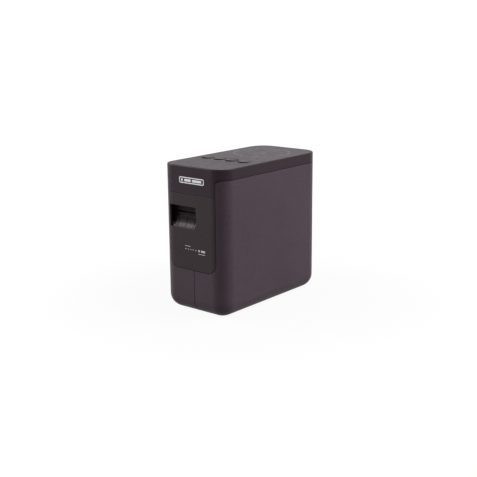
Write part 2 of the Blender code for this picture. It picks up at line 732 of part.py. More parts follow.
def gears(look, steel):
    """The drive train on the right of the chassis, every gear in mesh with the next."""
    spots = train()
    large_phase = 0.0
    small_phase = meshed_phase(spots["large"], LARGE_TEETH, large_phase, spots["small"], SMALL_TEETH)
    platen_phase = meshed_phase(spots["small"], SMALL_TEETH, small_phase, spots["platen"], PLATEN_TEETH)
    ribbon_phase = meshed_phase(spots["large"], LARGE_TEETH, large_phase, spots["ribbon"], RIBBON_TEETH)
    pinion_phase = meshed_phase(spots["large"], LARGE_TEETH, large_phase, spots["pinion"], PINION_TEETH)
    made = (("idler_gear_large", "large", LARGE_TEETH, large_phase, GEAR_POST + GAP),
            ("idler_gear_small", "small", SMALL_TEETH, small_phase, GEAR_POST + GAP),
            ("platen_gear", "platen", PLATEN_TEETH, platen_phase, PLATEN_SHAFT + GAP))
    for name, spot, teeth, phase, bore in made:
        shape = toothed(teeth, spots[spot], phase, "X", GEAR_X, bore)
        add(name, shape, look, origin=(GEAR_X[0], *spots[spot]))
    ribbon = prism(gear_outline(RIBBON_TEETH, spots["ribbon"], ribbon_phase), "X", *GEAR_X)
    drive = add("ribbon_drive", ribbon, look, origin=(GEAR_X[0], *spots["ribbon"]))
    join(drive, rod("X", spots["ribbon"], SPINDLE_RADIUS, CASSETTE_LEFT + 6, GEAR_X[0] + 1, 16))
    pinion = prism(gear_outline(PINION_TEETH, spots["pinion"], pinion_phase), "X", *GEAR_X)
    drive = add("motor_pinion", pinion, steel, origin=(GEAR_X[0], *spots["pinion"]))
    join(drive, rod("X", spots["pinion"], 1.0, GEAR_X[1] - 1, GEAR_PLATE_X + GEAR_PLATE_THICK, 12))


# ---------------------------------------------------------------- print head and platen
def cheeks_x():
    """The two side cheeks of the roller holder, left and right."""
    right = CHASSIS_X - GAP - 0.1
    left = CASSETTE_LEFT - GAP
    return ((left - HOLDER_SHEET, left), (right - HOLDER_SHEET, right))


def roller_holder(look):
    """A bracket over the front of the cassette that presses the roller on the print head."""
    rear = HOLDER_PIVOT_Y + 3.5
    low = CASSETTE_Z[1] + 1.6
    high = HOLDER_PIVOT_Z + 6.2
    foot = PLATEN_Z - 3.2
    outline_yz = [(rear, low), (rear, high), (PLATEN_Y - 3, high), (PLATEN_Y - 4.5, high - 9),
                  (PLATEN_Y - 4.5, foot), (PLATEN_Y + 3.5, foot), (PLATEN_Y + 3.5, low)]
    left, right = cheeks_x()
    pivot = (HOLDER_PIVOT_Y, HOLDER_PIVOT_Z)
    holder = add("roller_holder", prism(outline_yz, "X", *left), look, origin=(0, *pivot))
    bridge = box((left[0] + 0.1, right[1] - 0.1), (PLATEN_Y - 2.5, rear - 0.5), (high - 1.9, high - 0.1))
    join(holder, prism(outline_yz, "X", *right), bridge)
    through = (left[0] - PAST, right[1] + PAST)
    cut(holder, rod("X", pivot, HOLDER_PIN + GAP, *through, 16))
    return cut(holder, rod("X", (PLATEN_Y, PLATEN_Z), PLATEN_SHAFT + GAP, *through, 16))


def roller(rubber, steel):
    """The rubber platen on its steel shaft, which runs on to the gear."""
    left, right = cheeks_x()
    spot = (PLATEN_Y, PLATEN_Z)
    x = (left[1] + GAP, right[0] - GAP)
    sleeve = tube("X", spot, PLATEN_RADIUS, PLATEN_SHAFT + GAP, *x, 24)
    add("platen_roller", sleeve, rubber, origin=(0, *spot))
    shaft = rod("X", spot, PLATEN_SHAFT, left[0] - 0.8, GEAR_X[1] + 0.5, 16)
    add("platen_shaft", shaft, steel, origin=(0, *spot))


def pivot_pin(look):
    left, _ = cheeks_x()
    spot = (HOLDER_PIVOT_Y, HOLDER_PIVOT_Z)
    add("holder_pivot_pin", rod("X", spot, HOLDER_PIN, left[0] - 0.8, CHASSIS_X - GAP, 16), look)


def holder_spring(look):
    """A coil on the pivot pin that lifts the holder when the cover opens."""
    turns = 5
    steps = 10
    wire = 0.4
    coil = HOLDER_PIN + wire + 0.6
    rise = 9.0 / (turns * steps)
    rings = []
    for i in range(turns * steps + 1):
        angle = 2 * math.pi * i / steps
        out = Vector((0, math.cos(angle), math.sin(angle)))
        middle = Vector((TAPE_X[0] + rise * i, HOLDER_PIVOT_Y, HOLDER_PIVOT_Z)) + out * coil
        rings.append([middle + (out * u + Vector((1, 0, 0)) * v) for u, v in circle(wire, 5)])
    add("holder_spring", loft(rings, closed=False), look)


def print_head(ceramic, aluminium):
    """The heating bar under the tape on its finned heat sink."""
    x = (TAPE_X[0] - 1, TAPE_X[1] + 1)
    y = (PLATEN_Y - 4, PLATEN_Y + 3.5)
    top = TAPE_Z - GAP
    head_low = top - 4.3
    add("print_head", box(x, y, (head_low, top)), ceramic)
    sink_top = head_low - GAP
    sink_low = sink_top - 16
    web = 3.0
    sink = add("heat_sink", box((x[0], CHASSIS_X - GAP), y, (sink_low, sink_top)), aluminium)
    groove_y = (y[0] - PAST, y[1] - web)
    for i in range(5):
        groove = x[0] + 2.5 + 4.6 * i
        cut(sink, box((groove, groove + 2.4), groove_y, (sink_low - PAST, sink_top - web)))


# ---------------------------------------------------------------- cassette
def cassette(case_look, core_look, tape_look):
    """A two-part case with the tape roll, its core and the two ribbon spools."""
    x = (CASSETTE_LEFT + CASE_LID + GAP, CHASSIS_X - GAP)
    case = add("cassette_case", box(x, CASSETTE_Y, CASSETTE_Z), case_look)
    floor = x[1] - CASE_WALL
    inner_y = (CASSETTE_Y[0] + CASE_WALL, CASSETTE_Y[1] - CASE_WALL)
    inner_z = (CASSETTE_Z[0] + CASE_WALL, CASSETTE_Z[1] - CASE_WALL)
    cut(case, box((x[0] - PAST, floor), inner_y, inner_z))
    roll = (ROLL_Y, ROLL_Z)
    supply = (SUPPLY_Y, SPOOL_Z)
    take_up = (TAKE_UP_Y, SPOOL_Z)
    join(case, rod("X", roll, HUB_RADIUS, x[0] + 1, floor + 0.5, 16),
         rod("X", supply, HUB_RADIUS / 2, x[0] + 1, floor + 0.5, 12))
    mouth = box((TAPE_X[0] - 0.5, TAPE_X[1] + 0.5), (CASSETTE_Y[0] - PAST, inner_y[0] + 1),
                (TAPE_Z - 1, TAPE_Z + 1.5))
    cut(case, mouth, rod("X", take_up, SPINDLE_RADIUS + 2 * GAP, floor - 1, floor + PAST, 16))
    lid_x = (CASSETTE_LEFT, CASSETTE_LEFT + CASE_LID)
    lid = add("cassette_lid", box(lid_x, CASSETTE_Y, CASSETTE_Z), case_look)
    window_x = (CASSETTE_LEFT - PAST, CASSETTE_LEFT + PAST)
    cut(lid, box(window_x, (ROLL_Y - 12, ROLL_Y + 12), (ROLL_Z - 4, ROLL_Z + 4)))
    wound = (("tape_core", roll, CORE_RADIUS, HUB_RADIUS, 20, core_look),
             ("tape_roll", roll, ROLL_RADIUS, CORE_RADIUS, 36, tape_look),
             ("ribbon_supply_spool", supply, SPOOL_RADIUS, HUB_RADIUS / 2, 18, core_look),
             ("ribbon_take_up_spool", take_up, SPOOL_RADIUS, SPINDLE_RADIUS, 18, core_look))
    for name, spot, radius, seat, count, look in wound:
        shape = tube("X", spot, radius, seat + GAP, *TAPE_X, count)
        add(name, shape, look, origin=(TAPE_X[0], *spot))
    end_y = CUTTER_FRAME_Y[0] - GAP - FIXED_BLADE
    add("label_tape", box(TAPE_X, (end_y, ROLL_Y), (TAPE_Z, TAPE_Z + TAPE_THICK)), tape_look)


# ---------------------------------------------------------------- cutter
def cutter_gear_spot():
    return (BLADE_PIVOT[0] + gear_radius(BLADE_TEETH + CUTTER_TEETH), BLADE_PIVOT[1])


def blade_outline():
    """The swinging blade: a long edge left of its pivot, five gear teeth right of it."""
    px, pz = BLADE_PIVOT
    root = root_radius(BLADE_TEETH)
    pitch = 2 * math.pi / BLADE_TEETH
    tip_x = TAPE_X[0] - 4.5
    points = [(tip_x, pz + 0.4), (px - 5, pz - 1.3)]
    points += arc(BLADE_PIVOT, 4.0, 225, 300, 3)
    points.append(polar(BLADE_PIVOT, root, -2.5 * pitch))
    points += gear_outline(BLADE_TEETH, BLADE_PIVOT, -2 * pitch)[:20]
    points.append(polar(BLADE_PIVOT, root, 2.5 * pitch))
    return points + [(px + 2, pz + 5.5), (px - 6, pz + 7), (tip_x, pz + 7.5)]


def cutter(plate_look, steel, gear_look, motor_look):
    """A shear: a fixed blade under the tape and a geared blade that swings down past it."""
    frame_y = CUTTER_FRAME_Y
    fixed_y = (frame_y[0] - GAP - FIXED_BLADE, frame_y[0] - GAP)
    moving_y = (fixed_y[0] - GAP - MOVING_BLADE, fixed_y[0] - GAP)
    gear_spot = cutter_gear_spot()
    x = (TAPE_X[0] - 5, gear_spot[0] + CUTTER_MOTOR_RADIUS + 1)
    frame = add("cutter_frame", box(x, frame_y, (TAPE_Z - CUTTER_REACH, TAPE_Z + CUTTER_REACH)), plate_look)
    through = (frame_y[0] - PAST, frame_y[1] + PAST)
    slot_z = (TAPE_Z - SLOT_BELOW, TAPE_Z + SLOT_ABOVE + 0.2)
    cut(frame, box((TAPE_X[0] - 2, TAPE_X[1] + 1.5), through, slot_z))
    cut(frame, rod("Y", BLADE_PIVOT, BLADE_PIN + GAP, *through, 12))
    cut(frame, rod("Y", gear_spot, SHAFT_HOLE, *through, 12))
    edge = TAPE_Z - GAP
    add("fixed_blade", box((TAPE_X[0] - 4, TAPE_X[1] + 2), fixed_y, (edge - 11, edge)), steel)
    pivot_at = (BLADE_PIVOT[0], moving_y[0], BLADE_PIVOT[1])
    blade = add("moving_blade", prism(blade_outline(), "Y", *moving_y), steel, origin=pivot_at)
    cut(blade, rod("Y", BLADE_PIVOT, BLADE_PIN + GAP, moving_y[0] - PAST, moving_y[1] + PAST, 12))
    head = moving_y[0] - GAP
    pin = [(0, head - GAP), (2 * BLADE_PIN, head - GAP), (2 * BLADE_PIN, head),
           (BLADE_PIN, head), (BLADE_PIN, frame_y[1] - GAP), (0, frame_y[1] - GAP)]
    add("blade_pivot_pin", turned(pin, "Y", BLADE_PIVOT, 12), steel)
    phase = meshed_phase(BLADE_PIVOT, BLADE_TEETH, 0.0, gear_spot, CUTTER_TEETH)
    gear_y = (moving_y[0] - GAP, moving_y[1] + 2 * GAP)
    gear = prism(gear_outline(CUTTER_TEETH, gear_spot, phase), "Y", *gear_y)
    gear = add("cutter_gear", gear, gear_look, origin=(gear_spot[0], gear_y[0], gear_spot[1]))
    join(gear, rod("Y", gear_spot, 1.2, gear_y[1] - 1, frame_y[1] - 0.1, 12))
    start = frame_y[1] + GAP
    body = rod("Y", gear_spot, CUTTER_MOTOR_RADIUS, start, start + CUTTER_MOTOR_LENGTH, 24)
    add("cutter_motor", body, motor_look)


# ---------------------------------------------------------------- rear electronics
def rear_board(look):
    """The main board behind the chassis, with its larger components in front."""
    board_y = (REAR_BOARD_Y, REAR_BOARD_Y + BOARD)
    board = add("main_board", box(REAR_BOARD_X, board_y, REAR_BOARD_Z), look)
    for x, z, depth in (((8, 24), (70, 86), 1.8), ((10, 20), (94, 104), 3.0), ((-16, -6), (50, 64), 2.4)):
        join(board, box(x, (REAR_BOARD_Y - depth, REAR_BOARD_Y + 0.5), z))
    for x in (12.0, 22.0):
        join(board, rod("Y", (x, 50.0), 4.0, REAR_BOARD_Y - 10, REAR_BOARD_Y + 0.5, 12))
    return board


def sockets(look, steel):
    y = (REAR_BOARD_Y + BOARD + GAP, HALF_D - SOCKET_REAR)
    x, z = SOCKETS["dc_jack"]
    middle = (sum(x) / 2, sum(z) / 2)
    jack = add("dc_jack", box(x, y, z), look)
    cut(jack, rod("Y", middle, 3.2, y[0] + 4, y[1] + PAST, 16))
    join(jack, rod("Y", middle, 1.0, y[0] + 3, y[0] + 9, 10))
    x, z = SOCKETS["usb_socket"]
    middle = (sum(x) / 2, sum(z) / 2)
    usb = add("usb_socket", box(x, y, z), steel)
    cut(usb, about(middle, (4.25, 3.9), (y[0] + 4, y[1] + PAST)))
    join(usb, about(middle, (2.8, 1.6), (y[0] + 3, y[0] + 8)))


def about(middle, half, y):
    """A block around a point of the rear face, between two depths."""
    x = (middle[0] - half[0], middle[0] + half[0])
    return box(x, y, (middle[1] - half[1], middle[1] + half[1]))


def main():
    clear_scene()
    shell = material("shell_plastic", "4e454b", 0.5)
    dark = material("trim_plastic", "352f33", 0.45)
    keys = material("button_plastic", "655c64", 0.45)
    inner = material("inner_plastic", "2b2a2c", 0.6)
    white = material("gear_plastic", "e4e0d6", 0.45)
    grey = material("case_plastic", "b9b6ae", 0.5)
    tape = material("label_tape", "f4f2ec", 0.5)
    rubber = material("rubber", "1e1d1f", 0.85)
    steel = material("steel", "b9b9bc", 0.35, 1.0)
    zinc = material("zinc_plate", "9c9da0", 0.45, 1.0)
    aluminium = material("aluminium", "c8cacc", 0.4, 1.0)
    ceramic = material("ceramic", "d8c9a8", 0.4)
    board = material("circuit_board", "1f5a3a", 0.5)
    sleeve = material("cell_sleeve", "b08a3c", 0.4)

    tape_cover(shell)
    right_shell(shell)
    rear_panel(shell)
    front_panel(dark)
    top_cover(dark)
    hinge_pin(steel)
    for name, x in button_spots():
        button(name, x, keys)
    key_board(board)
    antenna_board(board)
    exit_chute(inner)
    base_plate(inner)
    battery_cover(inner)
    feet(rubber)
    battery_box(inner)
    cells(sleeve)
    cell_contacts(zinc)
    chassis(inner)
    gear_plate(zinc)
    drive_motor(zinc)
    gears(white, steel)
    roller_holder(zinc)
    roller(rubber, steel)
    pivot_pin(steel)
    holder_spring(steel)
    print_head(ceramic, aluminium)
    cassette(grey, white, tape)
    cutter(zinc, steel, white, zinc)
    rear_board(board)
    sockets(inner, steel)


main()
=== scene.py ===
# %% [markdown]
# # A desktop label maker
#
# The real machine is an upright box of moulded plastic. A dark grey door and side cover wrap
# round its left and right, a black lid comes down the front as an apron, and a near-black panel
# below it holds the slot that the printed label comes out of. Behind the door are a tape
# cassette, a rubber roller on a sprung holder, a train of gears and a small shear.
#
# Every cell below makes one piece or one finish, and prints what it made.

import json
import math

import bmesh
import bpy
from mathutils import Matrix, Vector

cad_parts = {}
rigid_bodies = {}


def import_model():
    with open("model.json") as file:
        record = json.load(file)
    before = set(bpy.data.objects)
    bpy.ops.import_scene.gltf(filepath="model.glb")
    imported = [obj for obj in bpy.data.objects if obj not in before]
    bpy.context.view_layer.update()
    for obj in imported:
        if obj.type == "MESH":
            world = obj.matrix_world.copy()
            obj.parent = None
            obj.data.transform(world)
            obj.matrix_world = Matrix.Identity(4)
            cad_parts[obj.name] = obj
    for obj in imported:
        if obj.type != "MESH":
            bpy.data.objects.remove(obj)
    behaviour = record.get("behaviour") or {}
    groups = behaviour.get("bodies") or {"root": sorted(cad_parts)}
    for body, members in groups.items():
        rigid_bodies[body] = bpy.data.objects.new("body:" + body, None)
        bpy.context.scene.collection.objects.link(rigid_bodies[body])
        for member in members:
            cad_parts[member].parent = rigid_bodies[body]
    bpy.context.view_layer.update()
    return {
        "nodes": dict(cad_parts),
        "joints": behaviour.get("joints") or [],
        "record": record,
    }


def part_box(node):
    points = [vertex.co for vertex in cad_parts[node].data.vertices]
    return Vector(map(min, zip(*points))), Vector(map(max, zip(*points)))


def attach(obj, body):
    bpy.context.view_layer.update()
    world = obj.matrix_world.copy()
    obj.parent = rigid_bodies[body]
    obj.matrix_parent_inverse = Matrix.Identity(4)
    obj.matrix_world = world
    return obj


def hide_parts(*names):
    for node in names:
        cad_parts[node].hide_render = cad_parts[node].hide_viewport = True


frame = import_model()

# %% [markdown]
# Sizes are written in millimetres, as on a drawing, and turned to metres only when a piece is
# finished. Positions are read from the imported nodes, so that a piece lands where the frame
# has it. `spot` gives a node's limits along each axis.

# %% Read places from the frame
MM = 0.001


def spot(node):
    """Limits of a node in millimetres, as one (low, high) pair for each axis."""
    low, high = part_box(node)
    return [(a / MM, b / MM) for a, b in zip(low, high)]


def middle(node):
    return Vector([(low + high) / 2 for low, high in spot(node)])


def joint_named(name):
    return next(joint for joint in frame["joints"] if joint["name"] == name)


door, right, rear = spot("tape_cover"), spot("right_shell"), spot("rear_panel")
lid_box, panel_box = spot("top_cover"), spot("front_panel")
LEFT_X, RIGHT_X = door[0][0], right[0][1]
FRONT_Y, REAR_Y = right[1][0], rear[1][1]
SHELL_LOW, SHELL_TOP = right[2]
LID_LOW, TOP_Z = lid_box[2]
print("body:", round(RIGHT_X - LEFT_X, 1), "x", round(REAR_Y - FRONT_Y, 1), "x", round(TOP_Z, 1), "mm")

# %% [markdown]
# ## Camera
#
# The product is seen from its front right corner, a little above its middle, with a short
# telephoto lens, so upright edges stay nearly parallel. The picture's centre is not the
# object's centre, so a small lens shift moves the frame instead of turning the camera.

# %% Place the camera
VIEW_AZIMUTH = 39.80
VIEW_ELEVATION = 13.40
VIEW_ROLL = -0.48
VIEW_DISTANCE = 0.89976
VIEW_TARGET = Vector((0, 0, 0.0715))
LENS = 67.54
LENS_SHIFT = (-0.0111, -0.0243)


def place_camera():
    turn = math.radians(VIEW_AZIMUTH)
    lift = math.radians(VIEW_ELEVATION)
    back = Vector((math.sin(turn) * math.cos(lift), -math.cos(turn) * math.cos(lift), math.sin(lift)))
    across = Vector((math.cos(turn), math.sin(turn), 0))
    upward = back.cross(across)
    roll = Matrix.Rotation(math.radians(VIEW_ROLL), 3, "Z")
    lens = bpy.data.cameras.new("camera")
    lens.lens = LENS
    lens.shift_x, lens.shift_y = LENS_SHIFT
    lens.clip_start = 0.01
    camera = bpy.data.objects.new("camera", lens)
    axes = Matrix((across, upward, back)).transposed() @ roll
    camera.matrix_world = Matrix.Translation(VIEW_TARGET + back * VIEW_DISTANCE) @ axes.to_4x4()
    bpy.context.scene.collection.objects.link(camera)
    bpy.context.scene.camera = camera
    return camera


camera = place_camera()
bpy.context.scene.view_settings.view_transform = "Standard"
print("camera at", [round(c, 3) for c in camera.matrix_world.translation])

# %% [markdown]
# ## Building materials from nodes
#
# Colours are picked as sRGB hex values, as in any paint program, and one function turns them
# into the linear light values that the renderer works in. One more function adds a node, sets
# its values and joins its inputs, which keeps every material a short list.

# %% Colour and node helpers


def srgb(code):
    """Linear RGBA of an sRGB hex colour."""
    parts = [int(code[i:i + 2], 16) / 255 for i in (0, 2, 4)]
    return [p / 12.92 if p <= 0.04045 else ((p + 0.055) / 1.055) ** 2.4 for p in parts] + [1.0]


def node(tree, kind, settings=(), values=(), links=()):
    """Add a node: settings are its properties, values its sockets' constants, links its inputs."""
    made = tree.nodes.new("ShaderNode" + kind)
    for key, value in dict(settings).items():
        setattr(made, key, value)
    for key, value in dict(values).items():
        made.inputs[key].default_value = value
    for key, source in dict(links).items():
        tree.links.new(source, made.inputs[key])
    return made


def per_metre(millimetres):
    """Noise scale whose features are about this many millimetres apart."""
    return 1.0 / (millimetres * MM)


def noise(tree, where, millimetres, detail, **more):
    """Noise with features about this many millimetres apart, as a value from 0 to 1."""
    values = {"Scale": per_metre(millimetres), "Detail": detail, **more}
    return node(tree, "TexNoise", values=values, links={"Vector": where}).outputs["Fac"]


def ramp(tree, source, stops):
    """A colour ramp with the given (place, sRGB hex) stops."""
    made = node(tree, "ValToRGB", links={"Fac": source})
    marks = made.color_ramp.elements
    while len(marks) < len(stops):
        marks.new(1.0)
    for mark, (place, code) in zip(marks, stops):
        mark.position = place
        mark.color = srgb(code)
    return made


def start_material(name, metallic=0.0, ior=1.5):
    """A new material with its shader, and the object's own coordinates to draw on."""
    made = bpy.data.materials.new(name)
    made.use_nodes = True
    tree = made.node_tree
    shader = tree.nodes["Principled BSDF"]
    shader.inputs["Metallic"].default_value = metallic
    shader.inputs["IOR"].default_value = ior
    where = node(tree, "TexCoord").outputs["Object"]
    return made, tree, shader, where

# %% [markdown]
# ## Floor and background
#
# A product picture stands on white that has no edge. Turning the lamps up until the floor
# burns out would also bleach the object, so the floor and the world are white only for rays
# that come from the camera, a reflection or a pane of glass. Every other ray meets a plain grey
# floor and a grey sky. Close to the object a share of the floor stays an ordinary surface, which
# keeps the shadow, and further out it goes over to even white.

# %% Lay the floor and set the world
FLOOR_SIZE = 12.0
NEAR_WHITE = 0.88          # how much of the floor glows beside the object, where the shadow lies
SHADOW_REACH = (0.12, 0.45)
SKY_LEVEL = 0.16


def seen_directly(tree):
    """1 for rays from the camera, a reflection or a refraction, 0 for the light's own rays."""
    rays = node(tree, "LightPath")
    mirrored = node(tree, "Math", {"operation": "MAXIMUM"},
                    links={0: rays.outputs["Is Glossy Ray"], 1: rays.outputs["Is Transmission Ray"]})
    return node(tree, "Math", {"operation": "MAXIMUM"},
                links={0: rays.outputs["Is Camera Ray"], 1: mirrored.outputs[0]}).outputs[0]


def floor_material():
    """White paper sweep: matt, with a faint tooth."""
    made, tree, shader, where = start_material("white_paper_sweep")
    tint = ramp(tree, noise(tree, where, 3, 3.0), [(0.3, "8e8e8e"), (0.7, "969696")])
    shader.inputs["Roughness"].default_value = 0.9
    shader.inputs["Specular IOR Level"].default_value = 0.1
    tree.links.new(tint.outputs["Color"], shader.inputs["Base Color"])
    glow = node(tree, "Emission", values={"Color": (1, 1, 1, 1), "Strength": 1.06})
    away = node(tree, "VectorMath", {"operation": "LENGTH"}, links={0: where})
    spread = node(tree, "MapRange", values={"From Min": SHADOW_REACH[0], "From Max": SHADOW_REACH[1],
                                            "To Min": NEAR_WHITE, "To Max": 1.0},
                  links={"Value": away.outputs["Value"]})
    share = node(tree, "Math", {"operation": "MULTIPLY"}, links={0: spread.outputs["Result"],
                                                                1: seen_directly(tree)})
    mixed = node(tree, "MixShader", links={0: share.outputs[0], 1: shader.outputs[0], 2: glow.outputs[0]})
    tree.links.new(mixed.outputs[0], tree.nodes["Material Output"].inputs["Surface"])
    return made


def lay_floor():
    bm = bmesh.new()
    bmesh.ops.create_grid(bm, x_segments=1, y_segments=1, size=FLOOR_SIZE / 2)
    mesh = bpy.data.meshes.new("floor")
    bm.to_mesh(mesh)
    bm.free()
    mesh.materials.append(floor_material())
    floor = bpy.data.objects.new("floor", mesh)
    bpy.context.scene.collection.objects.link(floor)
    return floor


def set_world():
    world = bpy.data.worlds.new("studio")
    world.use_nodes = True
    tree = world.node_tree
    sky = tree.nodes["Background"]
    sky.inputs["Color"].default_value = (1, 1, 1, 1)
    sky.inputs["Strength"].default_value = SKY_LEVEL
    white = node(tree, "Background", values={"Color": (1, 1, 1, 1), "Strength": 1.0})
    mixed = node(tree, "MixShader", links={0: seen_directly(tree), 1: sky.outputs[0], 2: white.outputs[0]})
    tree.links.new(mixed.outputs[0], tree.nodes["World Output"].inputs["Surface"])
    bpy.context.scene.world = world


floor = lay_floor()
set_world()
print("floor:", FLOOR_SIZE, "m wide, sky level", SKY_LEVEL)

# %% [markdown]
# ## Lamps
#
# Three soft boxes: one beside the right wall and a little behind it, one in front on the
# left, and one overhead and a little behind. None stands beside the camera, so the front right
# corner, which looks straight at it, stays darker than the two walls that meet there and the
# form reads.

# %% Hang the lamps
LAMPS = (
    # name, azimuth, elevation, distance, width, power in watts
    ("side_box", 118, 42, 1.2, 0.8, 16.0),
    ("front_box", -56, 26, 1.3, 0.8, 17.0),
    ("top_box", 190, 70, 1.3, 1.0, 3.0),
)


def hang_lamp(name, azimuth, elevation, distance, width, power):
    turn, lift = math.radians(azimuth), math.radians(elevation)
    outward = Vector((math.sin(turn) * math.cos(lift), -math.cos(turn) * math.cos(lift), math.sin(lift)))
    light = bpy.data.lights.new(name, "AREA")
    light.shape = "SQUARE"
    light.size = width
    light.energy = power
    lamp = bpy.data.objects.new(name, light)
    lamp.matrix_world = Matrix.Translation(VIEW_TARGET + outward * distance) @ \
        outward.to_track_quat("Z", "Y").to_matrix().to_4x4()
    bpy.context.scene.collection.objects.link(lamp)
    return lamp


lamps = [hang_lamp(*row) for row in LAMPS]
print("lamps:", [lamp.name for lamp in lamps])

# %% [markdown]
# ## Moulded plastics
#
# Almost all of the machine is injection-moulded ABS. The steel mould is spark-eroded, which
# leaves a fine even grain that scatters highlights and hides fingerprints, and the pigment
# flows into the mould a little unevenly, so no large wall is one exact colour. One recipe
# serves every moulded part, with its own colour, gloss and grain. The real grain is about
# 0.15 mm. That is too fine to show, so it is drawn several times coarser.

# %% Recipe for a moulded plastic


def wire(tree, shader, colour, gloss, relief, limits=(0.0, 1.0)):
    """Join a surface: its colour, its gloss as (source, smooth, rough) roughness, read between
    two limits of the source, and its relief as (source, strength, depth in millimetres)."""
    tree.links.new(colour, shader.inputs["Base Color"])
    source, smooth, rough = gloss
    spread = node(tree, "MapRange", values={"From Min": limits[0], "From Max": limits[1], "To Min": smooth,
                                            "To Max": rough}, links={"Value": source})
    tree.links.new(spread.outputs["Result"], shader.inputs["Roughness"])
    height, strength, depth = relief
    bump = node(tree, "Bump", values={"Strength": strength, "Distance": depth * MM},
                links={"Height": height})
    tree.links.new(bump.outputs["Normal"], shader.inputs["Normal"])


def tinted(tree, base, shade):
    """A colour ramp darkened by another."""
    return node(tree, "Mix", {"data_type": "RGBA", "blend_type": "MULTIPLY"}, {0: 1.0},
                {6: base.outputs["Color"], 7: shade.outputs["Color"]}).outputs[2]


FLOW_MM = 55.0
SCUFF_MM = 7.0
GRAIN_TINT = "fff2fc"


def moulded(name, dark, light, roughness, grain_mm, grain_depth_mm, specular=0.5, pit="d6d6d6"):
    """Plastic from a grained mould: colour drifts with the flow, gloss with light scuffing."""
    made, tree, shader, where = start_material(name, ior=1.5)
    flow = noise(tree, where, FLOW_MM, 3.0, Distortion=0.6)
    grain = noise(tree, where, grain_mm, 3.0, Roughness=0.6)
    scuff = noise(tree, where, SCUFF_MM, 5.0, Roughness=0.7)
    body = ramp(tree, flow, [(0.3, dark), (0.7, light)])
    pits = ramp(tree, grain, [(0.25, pit), (0.6, "ffffff")])
    shader.inputs["Specular IOR Level"].default_value = specular
    shader.inputs["Specular Tint"].default_value = srgb(GRAIN_TINT)
    wire(tree, shader, tinted(tree, body, pits), (scuff, roughness - 0.05, roughness + 0.06),
         (grain, 0.5, grain_depth_mm), (0.3, 0.7))
    return made


# dark grey ABS, spark-eroded: the door, side cover and back; a soft broad sheen
shell_abs = moulded("dark_grey_abs_spark_eroded", "4f444b", "544850", 0.47, 0.8, 0.04, 0.06)
# black ABS, finely blasted mould: the lid and its apron; blacker, its sheen a little tighter
trim_abs = moulded("black_abs_fine_blasted", "2c2127", "30252b", 0.42, 0.7, 0.03, 0.14)
# dark grey ABS, the same fine blast: the front panel, moulded apart from the lid and less black
panel_abs = moulded("dark_grey_abs_fine_blasted", "393133", "3d3537", 0.44, 0.7, 0.03, 0.1)
# grey ABS, fine grain: the faces of the four keys, a shade lighter than the lid
key_abs = moulded("grey_abs_key_caps", "372c32", "3c3037", 0.42, 0.6, 0.03, 0.1)
# black ABS straight from a milled mould: chassis, base, battery box; matt, with tool grain
inner_abs = moulded("black_abs_as_moulded", "1f1e20", "262527", 0.55, 1.4, 0.06, 0.4)
# black ABS, polished mould: the chute, so labels slide; glossier than the chassis
chute_abs = moulded("black_abs_polished_chute", "121011", "161314", 0.38, 1.0, 0.02, 0.08)
# pale grey polystyrene: the tape cassette's case, smooth and slightly waxy
case_ps = moulded("pale_grey_polystyrene", "aaa79f", "b2afa7", 0.38, 1.2, 0.02, pit="f2f2f2")
# natural white acetal, machined-looking and slippery: the gears and spools
acetal = moulded("natural_white_acetal", "dcd8cd", "e6e2d8", 0.34, 1.6, 0.02, pit="f2f2f2")


def painted_light_near_edge(made, low, high, code):
    """Painted light: pale near a low edge, where the light falls, fading out by a height, both in
    millimetres.
    """
    tree = made.node_tree
    shader = tree.nodes["Principled BSDF"]
    under = shader.inputs["Base Color"].links[0].from_socket
    place = node(tree, "SeparateXYZ", links={0: node(tree, "TexCoord").outputs["Object"]})
    fade = node(tree, "MapRange", values={"From Min": low * MM, "From Max": high * MM, "To Min": 1.0,
                                          "To Max": 0.0}, links={"Value": place.outputs["Z"]})
    # painted light: a pale colour mixed in near the low edge
    painted_light = node(tree, "Mix", {"data_type": "RGBA"}, {7: srgb(code)}, {0: fade.outputs["Result"], 6: under})
    tree.links.new(painted_light.outputs[2], shader.inputs["Base Color"])
    return made


# the same polished black, with painted light: pale along the lip, where the light falls on it
ramp_abs_painted_light = painted_light_near_edge(moulded("black_abs_ramp_painted_light", "121011", "161314", 0.38, 1.0, 0.02, 0.08),
                  84.0, 87.4, "706869")
print("moulded plastics: 9")

# %% [markdown]
# ## Rubber
#
# Both rubbers are black and matt, but made in different ways. The feet are pressed in a
# mould and have a pebbled skin. The platen is cast round its shaft and then ground round, so
# it carries very fine rings about its axis and is smoother than the feet.

# %% Rubber for the feet and the roller


def pebbled_rubber():
    made, tree, shader, where = start_material("black_nitrile_rubber_moulded", ior=1.52)
    pebble = node(tree, "TexVoronoi", {"feature": "SMOOTH_F1"},
                  {"Scale": per_metre(1.2), "Smoothness": 0.6}, {"Vector": where})
    dust = noise(tree, where, 9, 4.0)
    tint = ramp(tree, dust, [(0.35, "1b1a1c"), (0.75, "2a292b")])
    wire(tree, shader, tint.outputs["Color"], (dust, 0.78, 0.95), (pebble.outputs["Distance"], 0.5, 0.1))
    return made


def ground_rubber(axis_point):
    """Silicone rubber ground round: rings run round the roller's axis, which lies along X."""
    made, tree, shader, where = start_material("black_silicone_rubber_ground", ior=1.43)
    centred = node(tree, "Mapping", values={"Location": -axis_point * MM}, links={"Vector": where})
    stretched = node(tree, "Mapping", values={"Scale": (1.0, 0.04, 0.04)},
                     links={"Vector": centred.outputs[0]})
    rings = noise(tree, stretched.outputs[0], 0.6, 2.0)
    tint = ramp(tree, rings, [(0.3, "1d1c1e"), (0.7, "262527")])
    wire(tree, shader, tint.outputs["Color"], (rings, 0.5, 0.7), (rings, 0.4, 0.03))
    return made


foot_rubber = pebbled_rubber()
platen_rubber = ground_rubber(middle("platen_roller"))
print("rubbers:", foot_rubber.name, platen_rubber.name)

